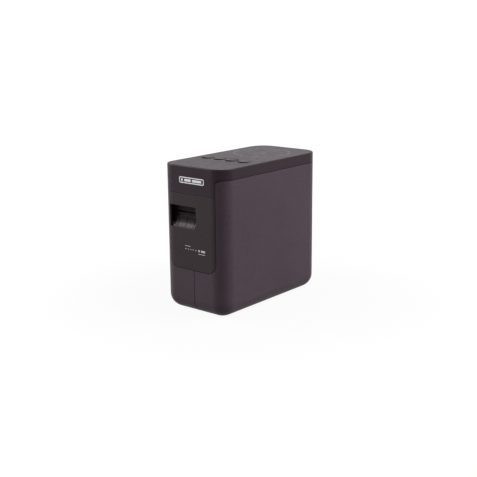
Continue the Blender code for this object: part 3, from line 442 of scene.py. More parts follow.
# %% [markdown]
# ## Metals
#
# A metal's look comes from how it was finished, because its colour is only a reflection.
# Ground pins and rolled sheet carry fine lines along the way they were worked, so the noise is
# stretched along that direction. Zinc plate is duller and drifts between blue and yellow where
# its passivation is thicker. Metals keep the shader's own IOR.

# %% Recipe for a worked metal


def worked_metal(name, dark, light, roughness, stretch, line_mm=0.5, depth_mm=0.01):
    """Metal with its working lines drawn out along the axes where stretch is small."""
    made, tree, shader, where = start_material(name, metallic=1.0)
    drawn = node(tree, "Mapping", values={"Scale": stretch}, links={"Vector": where})
    lines = noise(tree, drawn.outputs[0], line_mm, 4.0, Roughness=0.65)
    tint = ramp(tree, noise(tree, where, 14, 3.0), [(0.3, dark), (0.7, light)])
    wire(tree, shader, tint.outputs["Color"], (lines, roughness - 0.07, roughness + 0.09),
         (lines, 0.35, depth_mm), (0.25, 0.75))
    return made


# ground and polished carbon steel: shafts and pins, with lines along their length; the blades
# are painted near black, as painted shade, so nothing glints inside the label exit
ALONG_X, ALONG_Z = (0.03, 1.0, 1.0), (1.0, 1.0, 0.03)
pin_steel = worked_metal("bright_ground_steel", "bcbec2", "cfd0d2", 0.24, ALONG_X)
blade_steel_painted_dark = worked_metal("tool_steel_painted_dark", "2a292b", "37363a", 0.30, ALONG_X)
hinge_steel = worked_metal("bright_drawn_steel_wire", "b4b6ba", "c8c9cc", 0.28, ALONG_Z)
# electro-galvanised sheet: holder, gear plate and cutter frame; soft, slightly warm and blotched
zinc = worked_metal("passivated_zinc_plate", "a8a9ab", "bdb9ab", 0.40, ALONG_Z, 0.9)
# nickel-plated steel can: the motors; drawn, so lines run along the can
nickel = worked_metal("nickel_plated_drawn_can", "b2afa6", "c4c1b8", 0.30, ALONG_X, 0.7)
# extruded aluminium, etched: the heat sink, with drawing lines along the extrusion
aluminium = worked_metal("etched_extruded_aluminium", "b9bcbf", "cfd1d3", 0.38, ALONG_X, 0.8, 0.02)
print("metals: 6")

# %% [markdown]
# ## Tape, board, cells and print head
#
# The tape is a satin polyester film wound on itself, so its roll shows rings on both ends. The
# boards are glass fibre under green solder mask, with copper tracks raised under it. The
# cells wear a printed shrink sleeve, and the head is white alumina with one dark glazed line
# where it heats.

# %% Materials drawn for one kind of part
WAVE_TURNS = 20.0          # the wave texture counts this many radians for each unit of scale


def rings_every(millimetres):
    """Wave scale whose rings are this far apart."""
    return 2 * math.pi / (WAVE_TURNS * millimetres * MM)


def wound_film(axis_point):
    """White film wound about an axis along X; the real turns are 0.25 mm apart, drawn at 0.9."""
    made, tree, shader, where = start_material("white_polyester_film_wound", ior=1.58)
    centred = node(tree, "Mapping", values={"Location": -axis_point * MM}, links={"Vector": where})
    turns = node(tree, "TexWave", {"wave_type": "RINGS", "rings_direction": "X"},
                 {"Scale": rings_every(0.9), "Distortion": 0.6, "Detail": 2.0, "Detail Scale": 2.0},
                 {"Vector": centred.outputs[0]})
    wave = turns.outputs["Fac"]
    tint = ramp(tree, wave, [(0.0, "cfccc2"), (0.5, "f0eee7"), (1.0, "f6f5f0")])
    wire(tree, shader, tint.outputs["Color"], (wave, 0.52, 0.36), (wave, 0.5, 0.04))
    return made


def solder_mask():
    """Green mask over copper: in each patch of the board the tracks run up or across, and show
    paler and raised. Real tracks are 0.2 mm wide; these are drawn at three times that."""
    made, tree, shader, where = start_material("green_solder_mask_on_glass_fibre", ior=1.55)
    patch = node(tree, "TexVoronoi", {"distance": "CHEBYCHEV"}, {"Scale": per_metre(11)}, {"Vector": where})
    across = node(tree, "SeparateColor", links={0: patch.outputs["Color"]})
    runs = [node(tree, "TexWave", {"bands_direction": way}, {"Scale": rings_every(1.6)}, {"Vector": where})
            for way in ("X", "DIAGONAL")]
    choice = node(tree, "Math", {"operation": "GREATER_THAN"}, {1: 0.5}, {0: across.outputs[0]})
    mixed = node(tree, "Mix", links={0: choice.outputs[0], 2: runs[0].outputs["Fac"],
                                     3: runs[1].outputs["Fac"]})
    tracks = ramp(tree, mixed.outputs[0], [(0.55, "17492f"), (0.75, "2a7247")])
    wire(tree, shader, tracks.outputs["Color"], (across.outputs[1], 0.25, 0.42),
         (mixed.outputs[0], 0.6, 0.05))
    return made


def banded(name, axis, limits, stops, roughness, ior=1.5, metallic=0.0):
    """Bands of colour across a part, placed by millimetres along one axis."""
    made, tree, shader, where = start_material(name, metallic, ior)
    along = node(tree, "SeparateXYZ", links={0: where})
    place = node(tree, "MapRange", values={"From Min": limits[0] * MM, "From Max": limits[1] * MM},
                 links={"Value": along.outputs[axis]})
    span = limits[1] - limits[0]
    bands = ramp(tree, place.outputs["Result"], [((at - limits[0]) / span, code) for at, code in stops])
    bands.color_ramp.interpolation = "CONSTANT"
    fine = noise(tree, where, 1.5, 3.0)
    shade = ramp(tree, fine, [(0.3, "d8d8d8"), (0.7, "ffffff")])
    wire(tree, shader, tinted(tree, bands, shade), (fine, roughness - 0.06, roughness + 0.06),
         (fine, 0.3, 0.02))
    return made


film = wound_film(middle("tape_roll"))
mask = solder_mask()
cell_front, cell_rear = spot("cell_front_1")[1], spot("cell_rear_1")[1]
SLEEVE_STOPS = [(cell_front[0], "b0b0ac"), (cell_front[0] + 1.5, "1e1e20"), (cell_front[1] - 15, "a4803a"),
                (cell_front[1] - 2, "b9b9b5"), (cell_rear[0] + 1.5, "1e1e20"),
                (cell_rear[1] - 15, "a4803a"), (cell_rear[1] - 2, "b9b9b5")]
sleeve = banded("printed_pvc_shrink_sleeve", 1, (cell_front[0] - 1, cell_rear[1] + 1), SLEEVE_STOPS, 0.32)
head_y = spot("print_head")[1]
head_line = sum(spot("platen_roller")[1]) / 2
HEAD_STOPS = [(head_y[0], "e6e0d2"), (head_line - 0.6, "3b2c22"), (head_line + 0.6, "e6e0d2")]
alumina = banded("glazed_alumina_heating_bar", 1, (head_y[0] - 0.1, head_y[1]), HEAD_STOPS, 0.25, 1.77)
print("drawn materials:", film.name, mask.name, sleeve.name, alumina.name)

# %% [markdown]
# ## Shaping helpers
#
# Pieces start as a block, a disc or a few corner points, and bmesh operators shape them. These
# helpers only give the operators the values that the editor would, and turn millimetres to
# metres at the end. An outline's corners are rounded while it is still flat, because bevelling
# one vertex of a flat face gives a clean arc, and only then is it drawn out into a solid.

# %% Blocks, outlines and turned shapes


def block(x, y, z):
    """A block between two values on each axis, in millimetres."""
    bm = bmesh.new()
    bmesh.ops.create_cube(bm, size=1.0)
    bmesh.ops.scale(bm, vec=(x[1] - x[0], y[1] - y[0], z[1] - z[0]), verts=bm.verts[:])
    centre = Vector((x[0] + x[1], y[0] + y[1], z[0] + z[1])) / 2
    bmesh.ops.translate(bm, vec=centre, verts=bm.verts[:])
    return bm


def round_edges(bm, edges, radius, segments):
    """Round edges to a radius, with the values of the editor's bevel tool."""
    bmesh.ops.bevel(bm, geom=edges, offset=radius, offset_type="OFFSET", segments=segments,
                    profile=0.5, affect="EDGES", clamp_overlap=False, material=-1)


def runs_along(edge, axis):
    """Whether a straight edge lies along an axis: 0, 1 or 2."""
    line = (edge.verts[1].co - edge.verts[0].co).normalized()
    return abs(line[axis]) > 0.999


def in_plane(item, axis, value, slack=0.01):
    return all(abs(vert.co[axis] - value) < slack for vert in item.verts)


AXES = {"X": (1, 2, 0), "Y": (0, 2, 1), "Z": (0, 1, 2)}
ARC_STEPS = 8


def drawn_out(corners, axis, start, end):
    """An outline of (u, v, radius) corners, rounded while flat, then extruded along an axis."""
    first, second, third = AXES[axis]
    bm = bmesh.new()
    made = []
    for u, v, _ in corners:
        point = Vector()
        point[first], point[second], point[third] = u, v, start
        made.append(bm.verts.new(point))
    bm.faces.new(made)
    for vert, (_, _, radius) in zip(made, corners):
        if radius:
            bmesh.ops.bevel(bm, geom=[vert], offset=radius, offset_type="OFFSET",
                            segments=ARC_STEPS, profile=0.5, affect="VERTICES",
                            clamp_overlap=False, material=-1)
    pulled = bmesh.ops.extrude_face_region(bm, geom=bm.faces[:])
    move = Vector()
    move[third] = end - start
    bmesh.ops.translate(bm, vec=move, verts=[v for v in pulled["geom"] if isinstance(v, bmesh.types.BMVert)])
    bmesh.ops.recalc_face_normals(bm, faces=bm.faces[:])
    return bm


def tablet(axis, u, v, radius, start, end):
    """A flat rounded slab: a rectangle in the plane across an axis, drawn out along it."""
    return drawn_out([(u[0], v[0], radius), (u[1], v[0], radius), (u[1], v[1], radius),
                      (u[0], v[1], radius)], axis, start, end)


def turned(profile, axis, centre, steps=48):
    """A profile of (radius, along) points, spun once round an axis through a centre."""
    first, second, third = AXES[axis]
    bm = bmesh.new()
    line = []
    for radius, along in profile:
        point = Vector()
        point[first], point[second], point[third] = centre[0] + radius, centre[1], along
        line.append(bm.verts.new(point))
    edges = [bm.edges.new(pair) for pair in zip(line, line[1:])]
    hub, spindle = Vector(), Vector()
    hub[first], hub[second] = centre
    spindle[third] = 1.0
    bmesh.ops.spin(bm, geom=line + edges, cent=hub, axis=spindle, angle=2 * math.pi,
                   steps=steps, use_merge=True)
    bmesh.ops.remove_doubles(bm, verts=bm.verts[:], dist=1e-4)
    bmesh.ops.recalc_face_normals(bm, faces=bm.faces[:])
    return bm


def rod(axis, centre, radius, start, end, steps=32):
    """A solid cylinder along an axis."""
    return turned([(0, start), (radius, start), (radius, end), (0, end)], axis, centre, steps)


def joined(*parts):
    """Several shapes as one bmesh, each left as its own closed shell."""
    whole = parts[0]
    for part in parts[1:]:
        spare = bpy.data.meshes.new("spare")
        part.to_mesh(spare)
        part.free()
        whole.from_mesh(spare)
        bpy.data.meshes.remove(spare)
    return whole


print("shaping helpers ready")

# %% [markdown]
# A finished piece is an object at the origin whose mesh holds its place. Openings are cut with
# Boolean modifiers and the cut edges are eased with a small bevel, as a mould's edges are. Then
# the result is made a plain mesh, so the cutters can be thrown away and nothing stays live.

# %% Finishing a piece
EDGE = 0.35                # ease of a moulded edge
SMOOTH_ANGLE = math.radians(32)
pieces = {}


def as_object(name, bm):
    bmesh.ops.scale(bm, vec=(MM, MM, MM), verts=bm.verts[:])
    mesh = bpy.data.meshes.new(name)
    bm.to_mesh(mesh)
    bm.free()
    obj = bpy.data.objects.new(name, mesh)
    bpy.context.scene.collection.objects.link(obj)
    return obj


def in_millimetres(mesh):
    """A mesh made of metres as a bmesh in millimetres, to be shaped further."""
    bm = bmesh.new()
    bm.from_mesh(mesh)
    bmesh.ops.scale(bm, vec=(1 / MM, 1 / MM, 1 / MM), verts=bm.verts[:])
    return bm


def modify(obj, kind, **settings):
    modifier = obj.modifiers.new(kind.lower(), kind)
    for key, value in settings.items():
        setattr(modifier, key, value)
    return modifier


def settle(obj):
    """Make the modifiers' result the object's own mesh."""
    shown = obj.evaluated_get(bpy.context.evaluated_depsgraph_get())
    mesh = bpy.data.meshes.new_from_object(shown)
    mesh.name = obj.name
    obj.modifiers.clear()
    obj.data = mesh


def carve(obj, *cutters, operation="DIFFERENCE"):
    """Cut an object with closed shapes, or keep or add them, one after another."""
    tools = [as_object("cutter", cutter) for cutter in cutters]
    for tool in tools:
        modify(obj, "BOOLEAN", operation=operation, object=tool)
    settle(obj)
    for tool in tools:
        bpy.data.objects.remove(tool)


def clean(obj, distance=0.02):
    """Merge the slivers that a cut leaves, so that an edge can be eased evenly."""
    bm = bmesh.new()
    bm.from_mesh(obj.data)
    bmesh.ops.remove_doubles(bm, verts=bm.verts[:], dist=distance * MM)
    bmesh.ops.dissolve_degenerate(bm, edges=bm.edges[:], dist=distance * MM)
    bm.to_mesh(obj.data)
    bm.free()


def ease(obj, width=EDGE, steps=2, angle=40):
    """Round the sharp edges a little."""
    modify(obj, "BEVEL", width=width * MM, segments=steps, limit_method="ANGLE",
           angle_limit=math.radians(angle), use_clamp_overlap=True, miter_outer="MITER_ARC")
    settle(obj)


def finish_piece(obj, look, body, slot, *nodes):
    """Give a piece its finish, its body and the nodes that it stands for; its slot is not used.

    Large faces are given the say over the normals, so flats stay flat beside their rounds."""
    obj.data.shade_smooth()
    obj.data.set_sharp_from_angle(angle=SMOOTH_ANGLE)
    obj.data.materials.clear()
    obj.data.materials.append(look)
    modify(obj, "WEIGHTED_NORMAL", keep_sharp=True, weight=100)
    settle(obj)
    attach(obj, body)
    if nodes:
        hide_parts(*nodes)
    pieces[obj.name] = obj
    print(obj.name, "on", body, "faces:", len(obj.data.polygons))
    return obj


print("finishing helpers ready")

# %% [markdown]
# ## The body's wall
#
# The door, the side cover and the back are three pieces of one continuous wall: upright
# corners of 15 mm in front and 18.4 mm behind, and a generous 13.8 mm round under the bottom
# edge. It is quickest to make that wall once: bevel a block's upright edges, bevel its bottom
# rim, throw away the flat top and bottom, and give the skin that is left its thickness. Each
# cover is then a copy cut along its seams, so the seams are sure to meet.

# %% Shape the wall
FRONT_CORNER = 15.0
REAR_CORNER = 18.4
BOTTOM_ROUND = 13.8
WALL = 2.2
CORNER_STEPS = 12
ROUND_STEPS = 14
SEAM = 0.3
EASE_IN = 0.12             # the covers' edges stand back this much further, so that a seam reads


def body_plan(low, high, steps=CORNER_STEPS, inset=0.0):
    """A block of the body's plan, drawn in by an inset, with its four upright corners rounded."""
    bm = block((LEFT_X + inset, RIGHT_X - inset), (FRONT_Y + inset, REAR_Y - inset), (low, high))
    for side, radius in ((-1, FRONT_CORNER - inset), (1, REAR_CORNER - inset)):
        uprights = [e for e in bm.edges if runs_along(e, 2)
                    and abs(e.verts[0].co.x) > RIGHT_X - inset - 0.5
                    and e.verts[0].co.y * side > REAR_Y - inset - 0.5]
        round_edges(bm, uprights, radius, steps)
    return bm


def hollow_wall(name, bm, low, high):
    """Open a block's flat ends and give the skin that is left its thickness inwards."""
    flats = [f for f in bm.faces if in_plane(f, 2, low) or in_plane(f, 2, high)]
    bmesh.ops.delete(bm, geom=flats, context="FACES")
    bmesh.ops.recalc_face_normals(bm, faces=bm.faces[:])
    wall = as_object(name, bm)
    modify(wall, "SOLIDIFY", thickness=WALL * MM, offset=-1.0, use_even_offset=True)
    settle(wall)
    return wall


def body_wall(name):
    """The whole wall, rounded under its bottom edge."""
    bm = body_plan(SHELL_LOW, SHELL_TOP)
    round_edges(bm, [e for e in bm.edges if in_plane(e, 2, SHELL_LOW)], BOTTOM_ROUND, ROUND_STEPS)
    return hollow_wall(name, bm, SHELL_LOW, SHELL_TOP)


print("wall:", WALL, "mm thick, corners", FRONT_CORNER, "and", REAR_CORNER, "mm")

# %% [markdown]
# ## Side cover
#
# The right half is fixed. It stops at an upright seam below the front panel and at another in
# the back, and its front edge is scooped out round the panel and the lid's apron. The scoop is
# one flat outline drawn through the wall from front to back. Its lower corners are rounded, and
# at the top it turns outwards, which makes the shell's upper corner the rounded shoulder that
# the apron's fillet nests over.

# %% Cut the side cover
PANEL_HALF = panel_box[0][1] + SEAM / 2
PANEL_LOW = panel_box[2][0] - SEAM / 2
PANEL_CORNER = 10.0
APRON_FILLET = 5.0
PARTING_X = door[0][1] + SEAM / 2
REAR_SPLIT_X = rear[0][1] + SEAM / 2
REAR_CUT_Y = 57.0
FAR = 120.0
NUDGE = 0.02               # keeps a cutter's face off a face that it would lie on


def front_scoop(margin, low, top):
    """The opening between the covers, grown by a margin, as a solid through the front wall."""
    side = PANEL_HALF + margin
    bottom = max(PANEL_LOW - margin, low)
    corner = PANEL_CORNER + margin if low < PANEL_LOW else 0.0
    flare_z = SHELL_TOP + SEAM / 2 - margin + NUDGE
    flare = APRON_FILLET - margin
    wide = PANEL_HALF + APRON_FILLET + 2.0
    corners = [(-side, bottom, corner), (side, bottom, corner)]
    if top > flare_z:
        corners += [(side, flare_z, flare), (wide, flare_z, 0), (wide, top, 0),
                    (-wide, top, 0), (-wide, flare_z, 0), (-side, flare_z, flare)]
    else:
        corners += [(side, top, 0), (-side, top, 0)]
    return drawn_out(corners, "Y", FRONT_Y - 5, FRONT_Y + BOTTOM_ROUND)


def far_block(x=(-FAR, FAR), y=(-FAR, FAR), z=(-FAR, 2 * FAR)):
    return block(x, y, z)


def side_cover():
    cover = body_wall("side_cover")
    carve(cover, far_block(x=(PARTING_X + SEAM / 2 + EASE_IN, FAR)), operation="INTERSECT")
    carve(cover, far_block(x=(-FAR, REAR_SPLIT_X + SEAM / 2), y=(REAR_CUT_Y, FAR)),
          front_scoop(SEAM / 2 + EASE_IN, PANEL_LOW - 5, TOP_Z))
    clean(cover)
    ease(cover)
    return finish_piece(cover, shell_abs, "housing", "shell_plastic", "right_shell")


side_cover()

# %% [markdown]
# ## The door over the tape
#
# The left half swings open on a rolled rear edge: a barrel with a bore for the steel pin, cut
# away where the two knuckles of the back panel sit between its lengths. Two low ribs stiffen
# the inside of the big flat wall, as they do on any thin moulded door.

# %% Cut the door and roll its hinge edge
HINGE_X, HINGE_Y = [v / MM for v in joint_named("tape_cover_hinge")["pos_m"][:2]]
BARREL = HINGE_X - LEFT_X
PIN = (spot("cover_hinge_pin")[0][1] - spot("cover_hinge_pin")[0][0]) / 2
GAP = 0.3
KNUCKLES = ((34.0, 42.0), (104.0, 112.0))
BARREL_LOW = SHELL_LOW + BOTTOM_ROUND + 1
BARREL_HIGH = SHELL_TOP - 1
RIB = 1.4


def knuckle_rooms(clearance):
    reach = BARREL + clearance
    return [block((HINGE_X - reach, HINGE_X + reach), (HINGE_Y - reach, HINGE_Y + reach + WALL),
                  (low - clearance, high + clearance)) for low, high in KNUCKLES]


def door_ribs():
    """Two ribs along the door's wall and one across them, standing inside it."""
    inner = LEFT_X + WALL
    rib_x = (inner - 0.8, inner + RIB)
    run_y = (-48.0, 44.0)
    levels = (46.0, 122.0)
    ribs = [block(rib_x, run_y, (z - 0.7, z + 0.7)) for z in levels]
    ribs.append(block(rib_x, (-0.7, 0.7), levels))
    return ribs


def tape_door():
    cover = body_wall("tape_door")
    carve(cover, far_block(x=(-FAR, PARTING_X - SEAM / 2 - EASE_IN), y=(-FAR, HINGE_Y)),
          operation="INTERSECT")
    carve(cover, front_scoop(SEAM / 2 + EASE_IN, PANEL_LOW - 5, TOP_Z))
    carve(cover, rod("Z", (HINGE_X, HINGE_Y), BARREL, BARREL_LOW, BARREL_HIGH), *door_ribs(),
          operation="UNION")
    carve(cover, *knuckle_rooms(GAP))
    carve(cover, rod("Z", (HINGE_X, HINGE_Y), PIN + GAP, BARREL_LOW - 5, BARREL_HIGH + 5, 24))
    clean(cover)
    ease(cover)
    return finish_piece(cover, shell_abs, "tape_cover", "shell_plastic", "tape_cover")


tape_door()

# %% [markdown]
# ## Back panel
#
# The back closes the body behind the hinge. Two knuckles reach forward to take the hinge pin,
# and two holes let the power and data sockets through. A shallow step round each hole is what a
# plug's body rests in. A row of narrow slots high in the wall lets warm air out.

# %% Cut the back panel
SOCKET_RIM = 1.6
VENTS = [-14.0 + 4.0 * i for i in range(7)]
VENT_WIDE = 1.4
VENT_Z = (92, 108)
THROUGH = 8                # how far a cutter reaches either side of the wall's face


def rear_cover():
    cover = body_wall("rear_cover")
    split_y = HINGE_Y + BARREL + GAP
    carve(cover, far_block(x=(-FAR, REAR_SPLIT_X - SEAM / 2), y=(split_y, FAR)), operation="INTERSECT")
    arms = []
    for low, high in KNUCKLES:
        arms.append(block((HINGE_X - BARREL + 0.2, HINGE_X - 0.1), (HINGE_Y, split_y + 1), (low, high)))
        arms.append(rod("Z", (HINGE_X, HINGE_Y), BARREL, low + 0.05, high - 0.05))
    carve(cover, *arms, operation="UNION")
    bore = (KNUCKLES[0][0] - 5, KNUCKLES[1][1] + 5)
    carve(cover, rod("Z", (HINGE_X, HINGE_Y), PIN + GAP, *bore, 24))
    cuts = []
    for name in ("dc_jack", "usb_socket"):
        x, _, z = spot(name)
        for grow, radius, depth in ((GAP, 0.8, THROUGH), (SOCKET_RIM, 1.6, 0.5)):
            cuts.append(tablet("Y", (x[0] - grow, x[1] + grow), (z[0] - grow, z[1] + grow), radius,
                               REAR_Y - depth, REAR_Y + THROUGH))
    cuts += [tablet("Y", (x - VENT_WIDE / 2, x + VENT_WIDE / 2), VENT_Z, VENT_WIDE / 2 - 0.01,
                    REAR_Y - THROUGH, REAR_Y + THROUGH) for x in VENTS]
    carve(cover, *cuts)
    clean(cover)
    ease(cover)
    return finish_piece(cover, shell_abs, "housing", "shell_plastic", "rear_panel")


rear_cover()

# %% [markdown]
# ## Lid and apron
#
# The lid is a shallow black tray turned over the whole body. Its skirt is cut level all round
# except in front, where it runs down between the covers as an apron, with a hollow fillet on
# each side. Starting from the full depth of the apron and cutting away what is not there
# keeps the fillet, the skirt and the apron one surface, without a joint to hide.

# %% Shape the lid
TOP_THICK = 2.5
TOP_ROUND = 1.0
LIP = 1.2
SKIRT_LOW = SHELL_TOP + SEAM + 0.25
LID_CORNER_STEPS = 20
BUTTONS = ("power_button", "wireless_button", "feed_button", "cut_button")
BUTTON_RADIUS = 6.1
button_x = [middle(name).x for name in BUTTONS]
button_y = middle(BUTTONS[0]).y


def skirt_cutters():
    """What is not apron below the skirt: a filleted block each side, and all behind the front."""
    side = PANEL_HALF - SEAM / 2
    flare = APRON_FILLET + SEAM / 2
    low = LID_LOW - 5
    right_side = drawn_out([(side, low, 0), (FAR, low, 0), (FAR, SKIRT_LOW, 0), (side, SKIRT_LOW, flare)],
                           "Y", -FAR, FAR)
    left_side = drawn_out([(-side, low, 0), (-side, SKIRT_LOW, flare), (-FAR, SKIRT_LOW, 0), (-FAR, low, 0)],
                          "Y", -FAR, FAR)
    behind = block((-side - 1, side + 1), (FRONT_Y + FRONT_CORNER, FAR), (low, SKIRT_LOW))
    return right_side, left_side, behind


def inner_lip():
    """A rib just inside the shells' top edge, which closes the seam to light and dust."""
    low, inset = SHELL_TOP - 0.75, WALL + GAP
    rib = as_object("rib", body_plan(low, TOP_Z - 1, LID_CORNER_STEPS, inset))
    carve(rib, body_plan(low - 1, TOP_Z, LID_CORNER_STEPS, inset + LIP))
    bm = in_millimetres(rib.data)
    bpy.data.objects.remove(rib)
    return bm


def lid():
    bm = body_plan(LID_LOW, TOP_Z, LID_CORNER_STEPS)
    round_edges(bm, [e for e in bm.edges if in_plane(e, 2, TOP_Z)], TOP_ROUND, 4)
    cap = as_object("lid", bm)
    carve(cap, body_plan(LID_LOW - 5, TOP_Z - TOP_THICK, LID_CORNER_STEPS, WALL))
    for cutter in skirt_cutters():
        carve(cap, cutter)
    carve(cap, inner_lip(), operation="UNION")
    holes = [rod("Z", (x, button_y), BUTTON_RADIUS + GAP, TOP_Z - 8, TOP_Z + 8, 48) for x in button_x]
    carve(cap, *holes)
    clean(cap)
    ease(cap, 0.3)
    return finish_piece(cap, trim_abs, "housing", "trim_plastic", "top_cover")


lid()

# %% [markdown]
# ## Front panel
#
# The panel fills the scoop under the apron. It follows the body's front wall, so it is a piece
# of that same wall, kept inside a slightly smaller scoop, with the label exit cut through it.
# The exit runs out through the panel's left edge, and its lower right corner is cut off.

# %% Cut the front panel
PANEL_CORNER_STEPS = 24
EXIT_RIGHT = 5.0
EXIT_LOW, EXIT_HIGH = 83.0, 104.5
EXIT_CHAMFER = (3.0, 5.3)


def exit_cutter():
    right_x, low, high = EXIT_RIGHT, EXIT_LOW, EXIT_HIGH
    left_x = -PANEL_HALF - 5
    corners = [(left_x, low, 0), (right_x - EXIT_CHAMFER[0], low, 0.8),
               (right_x, low + EXIT_CHAMFER[1], 0.8), (right_x, high, 0.6), (left_x, high, 0)]
    return drawn_out(corners, "Y", FRONT_Y - 5, FRONT_Y + BOTTOM_ROUND)


def front_panel():
    panel = hollow_wall("panel", body_plan(SHELL_LOW, TOP_Z, PANEL_CORNER_STEPS), SHELL_LOW, TOP_Z)
    carve(panel, front_scoop(-SEAM / 2, PANEL_LOW - 5, panel_box[2][1]), operation="INTERSECT")
    carve(panel, exit_cutter())
    clean(panel)
    ease(panel, 0.4, 3)
    return finish_piece(panel, panel_abs, "housing", "trim_plastic", "front_panel")


front_panel()

# %% [markdown]
# ## Exit chute
#
# Behind the exit sits a dark box. Labels come out of a slot high in its back wall, over a ledge,
# and slide down a hollow ramp to the front lip. The ramp is a quarter of an ellipse: nearly level
# at the lip, where it catches the light, and upright below the ledge, where it stays black. Its
# finish is painted pale along the lip, as painted light. Three fine runners follow the same curve
# and keep the label's glue side off the plastic.

# %% Hollow out the chute
chute_box = spot("exit_chute")
tape_x, tape_z = spot("label_tape")[0], spot("label_tape")[2]
WALL_Y = FRONT_Y + WALL
LIP_Z, LEDGE_Z = EXIT_LOW + 0.9, 93.0
CHUTE_BACK = chute_box[1][1] - 1.2
LEDGE_Y = CHUTE_BACK - 1.0
RUNNER_HIGH = 0.35


def ramp_line(raised=0.0, steps=10):
    """Points (y, z) up the hollow ramp from the lip to the ledge, drawn in by an amount."""
    run, rise = LEDGE_Y - WALL_Y - raised, LEDGE_Z - LIP_Z - raised
    angles = [math.pi / 2 * i / steps for i in range(steps + 1)]
    return [(WALL_Y + run * math.sin(a), LEDGE_Z - rise * math.cos(a)) for a in angles]


def chute():
    x, y, z = chute_box
    body = as_object("chute", block(x, (FRONT_Y - 5, y[1]), z))
    carve(body, body_plan(z[0] - 5, z[1] + 5, LID_CORNER_STEPS, WALL + GAP), operation="INTERSECT")
    profile = [(FRONT_Y - 6, LIP_Z, 0)] + [(v, w, 0) for v, w in ramp_line()]
    profile += [(CHUTE_BACK, LEDGE_Z + 0.3, 0.4), (CHUTE_BACK, EXIT_HIGH - GAP, 1.0),
                (FRONT_Y - 6, EXIT_HIGH - GAP, 0)]
    slot = tablet("Y", (tape_x[0] - 1.5, tape_x[1] + 1.5), (tape_z[0] - 0.7, tape_z[0] + 0.9), 0.5,
                  CHUTE_BACK - 2, y[1] + 2)
    carve(body, drawn_out(profile, "X", x[0] + 1.2, x[1] - 2.2), slot)
    clean(body)
    ease(body, 0.2)
    return finish_piece(body, ramp_abs_painted_light, "housing", "inner_plastic", "exit_chute")


def runners():
    low_line, high_line = ramp_line(), ramp_line(RUNNER_HIGH)
    outline = [(v, w, 0) for v, w in low_line + high_line[::-1]]
    rails = [drawn_out(outline, "X", x - 0.35, x + 0.35) for x in (-22.0, -12.0, -2.0)]
    return finish_piece(as_object("chute_runners", joined(*rails)), ramp_abs_painted_light, "housing", "inner_plastic")


chute()
runners()

# %% [markdown]
# ## Keys
#
# Each key is moulded in two shots: a black drum that slides in the lid, with a flange that stops
# it against the underside and a stem that reaches the switch, and a grey face on top of the drum.
# The face tips back, flush with the lid at the rear and proud at the front, so the black drum
# shows as a crescent along its front edge; that black crescent is painted shade, which stands
# for the shaded front wall of the key. The tip is given by lowering each point of a turned
# shape in step with how far back it is. The key that feeds the tape sits in a raised black ring,
# so that a finger can tell it from the others.

# %% Turn the four keys
PROUD = 0.8
FACE = 0.12                # how thick the grey face shows
RIM = 0.1
DISH = 0.05                # how far the face is sunk in the middle, always less than FACE


def tipped(bm, y):
    """Tip everything above the lid's surface back about the front edge of a key."""
    slope = PROUD / (2 * BUTTON_RADIUS)
    for vert in bm.verts:
        if vert.co.z > TOP_Z - 1.6:
            vert.co.z -= slope * (vert.co.y - y + BUTTON_RADIUS)
    return bm


def key(name, x):
    low, high = spot(name)[2]
    flange = (TOP_Z - TOP_THICK - 1.5, TOP_Z - TOP_THICK - GAP)
    drum_top = high - FACE
    drum = [(0, low), (1.6, low), (1.6, flange[0]), (BUTTON_RADIUS + 1.1, flange[0]),
            (BUTTON_RADIUS + 1.1, flange[1]), (BUTTON_RADIUS, flange[1]),
            (BUTTON_RADIUS, drum_top - 0.15), (BUTTON_RADIUS - 0.15, drum_top), (0, drum_top)]
    black = tipped(turned(drum, "Z", (x, button_y), 64), button_y)
    # the drum's black, where it shows in front of the face, is painted shade
    finish_piece(as_object(name + "_drum", black), chute_abs, name, "button_plastic")
    radius = BUTTON_RADIUS - 0.45
    arc = [math.radians(15 * i) for i in range(7)]
    rim = [(radius - RIM * (1 - math.cos(a)), high - RIM + RIM * math.sin(a)) for a in arc]
    face = [(0, drum_top), (radius, drum_top)] + rim + [(radius / 2, high - 0.6 * DISH), (0, high - DISH)]
    grey = tipped(turned(face, "Z", (x, button_y), 64), button_y)
    return finish_piece(as_object(name + "_cap", grey), key_abs, name, "button_plastic", name)


def feed_ring():
    x = button_x[2]
    inner, outer, high = BUTTON_RADIUS + GAP + 0.05, BUTTON_RADIUS + 1.15, TOP_Z + 0.3
    profile = [(inner, TOP_Z - 1.0), (inner, high - 0.15), (inner + 0.15, high), (outer - 0.2, high),
               (outer, TOP_Z - 0.2), (inner, TOP_Z - 1.0)]
    ring = turned(profile, "Z", (x, button_y), 64)
    return finish_piece(as_object("feed_key_ring", ring), chute_abs, "housing", "trim_plastic")


for name, x in zip(BUTTONS, button_x):
    key(name, x)
feed_ring()

# %% [markdown]
# ## Printed marks
#
# The marks are pad printed: a silicone pad lays a film of ink a few hundredths of a millimetre
# thick. Thin solids do the same here and stay crisp at any distance. All of them are plain
# signs of this kind of machine: a tape label on the apron, a cut line on the front panel, and
# the ring and waves on the lid that say where to hold a telephone.

# %% Mix the inks
INK = 0.04


def ink(name, dark, light, roughness, metallic=0.0):
    """Pad-printed ink: its cover is a touch uneven, and its gloss follows the film."""
    made, tree, shader, where = start_material(name, metallic)
    cover = noise(tree, where, 1.4, 4.0)
    tint = ramp(tree, cover, [(0.3, dark), (0.65, light)])
    wire(tree, shader, tint.outputs["Color"], (cover, roughness + 0.1, roughness - 0.05),
         (cover, 0.3, 0.01))
    return made


white_ink = ink("pad_printed_white_ink", "e6e3e6", "f4f2f4", 0.45)
silver_ink = ink("pad_printed_silver_ink", "a5a2a6", "b9b6ba", 0.42, 0.35)
shadow_ink = ink("pad_printed_grey_ink", "7c6c76", "867680", 0.5)
print("inks: 3")

# %% Print the front


def bar(x, z, radius):
    """A rounded bar of ink on the front face, between two values of x and of z."""
    return tablet("Y", x, z, radius, FRONT_Y - INK, FRONT_Y + INK)


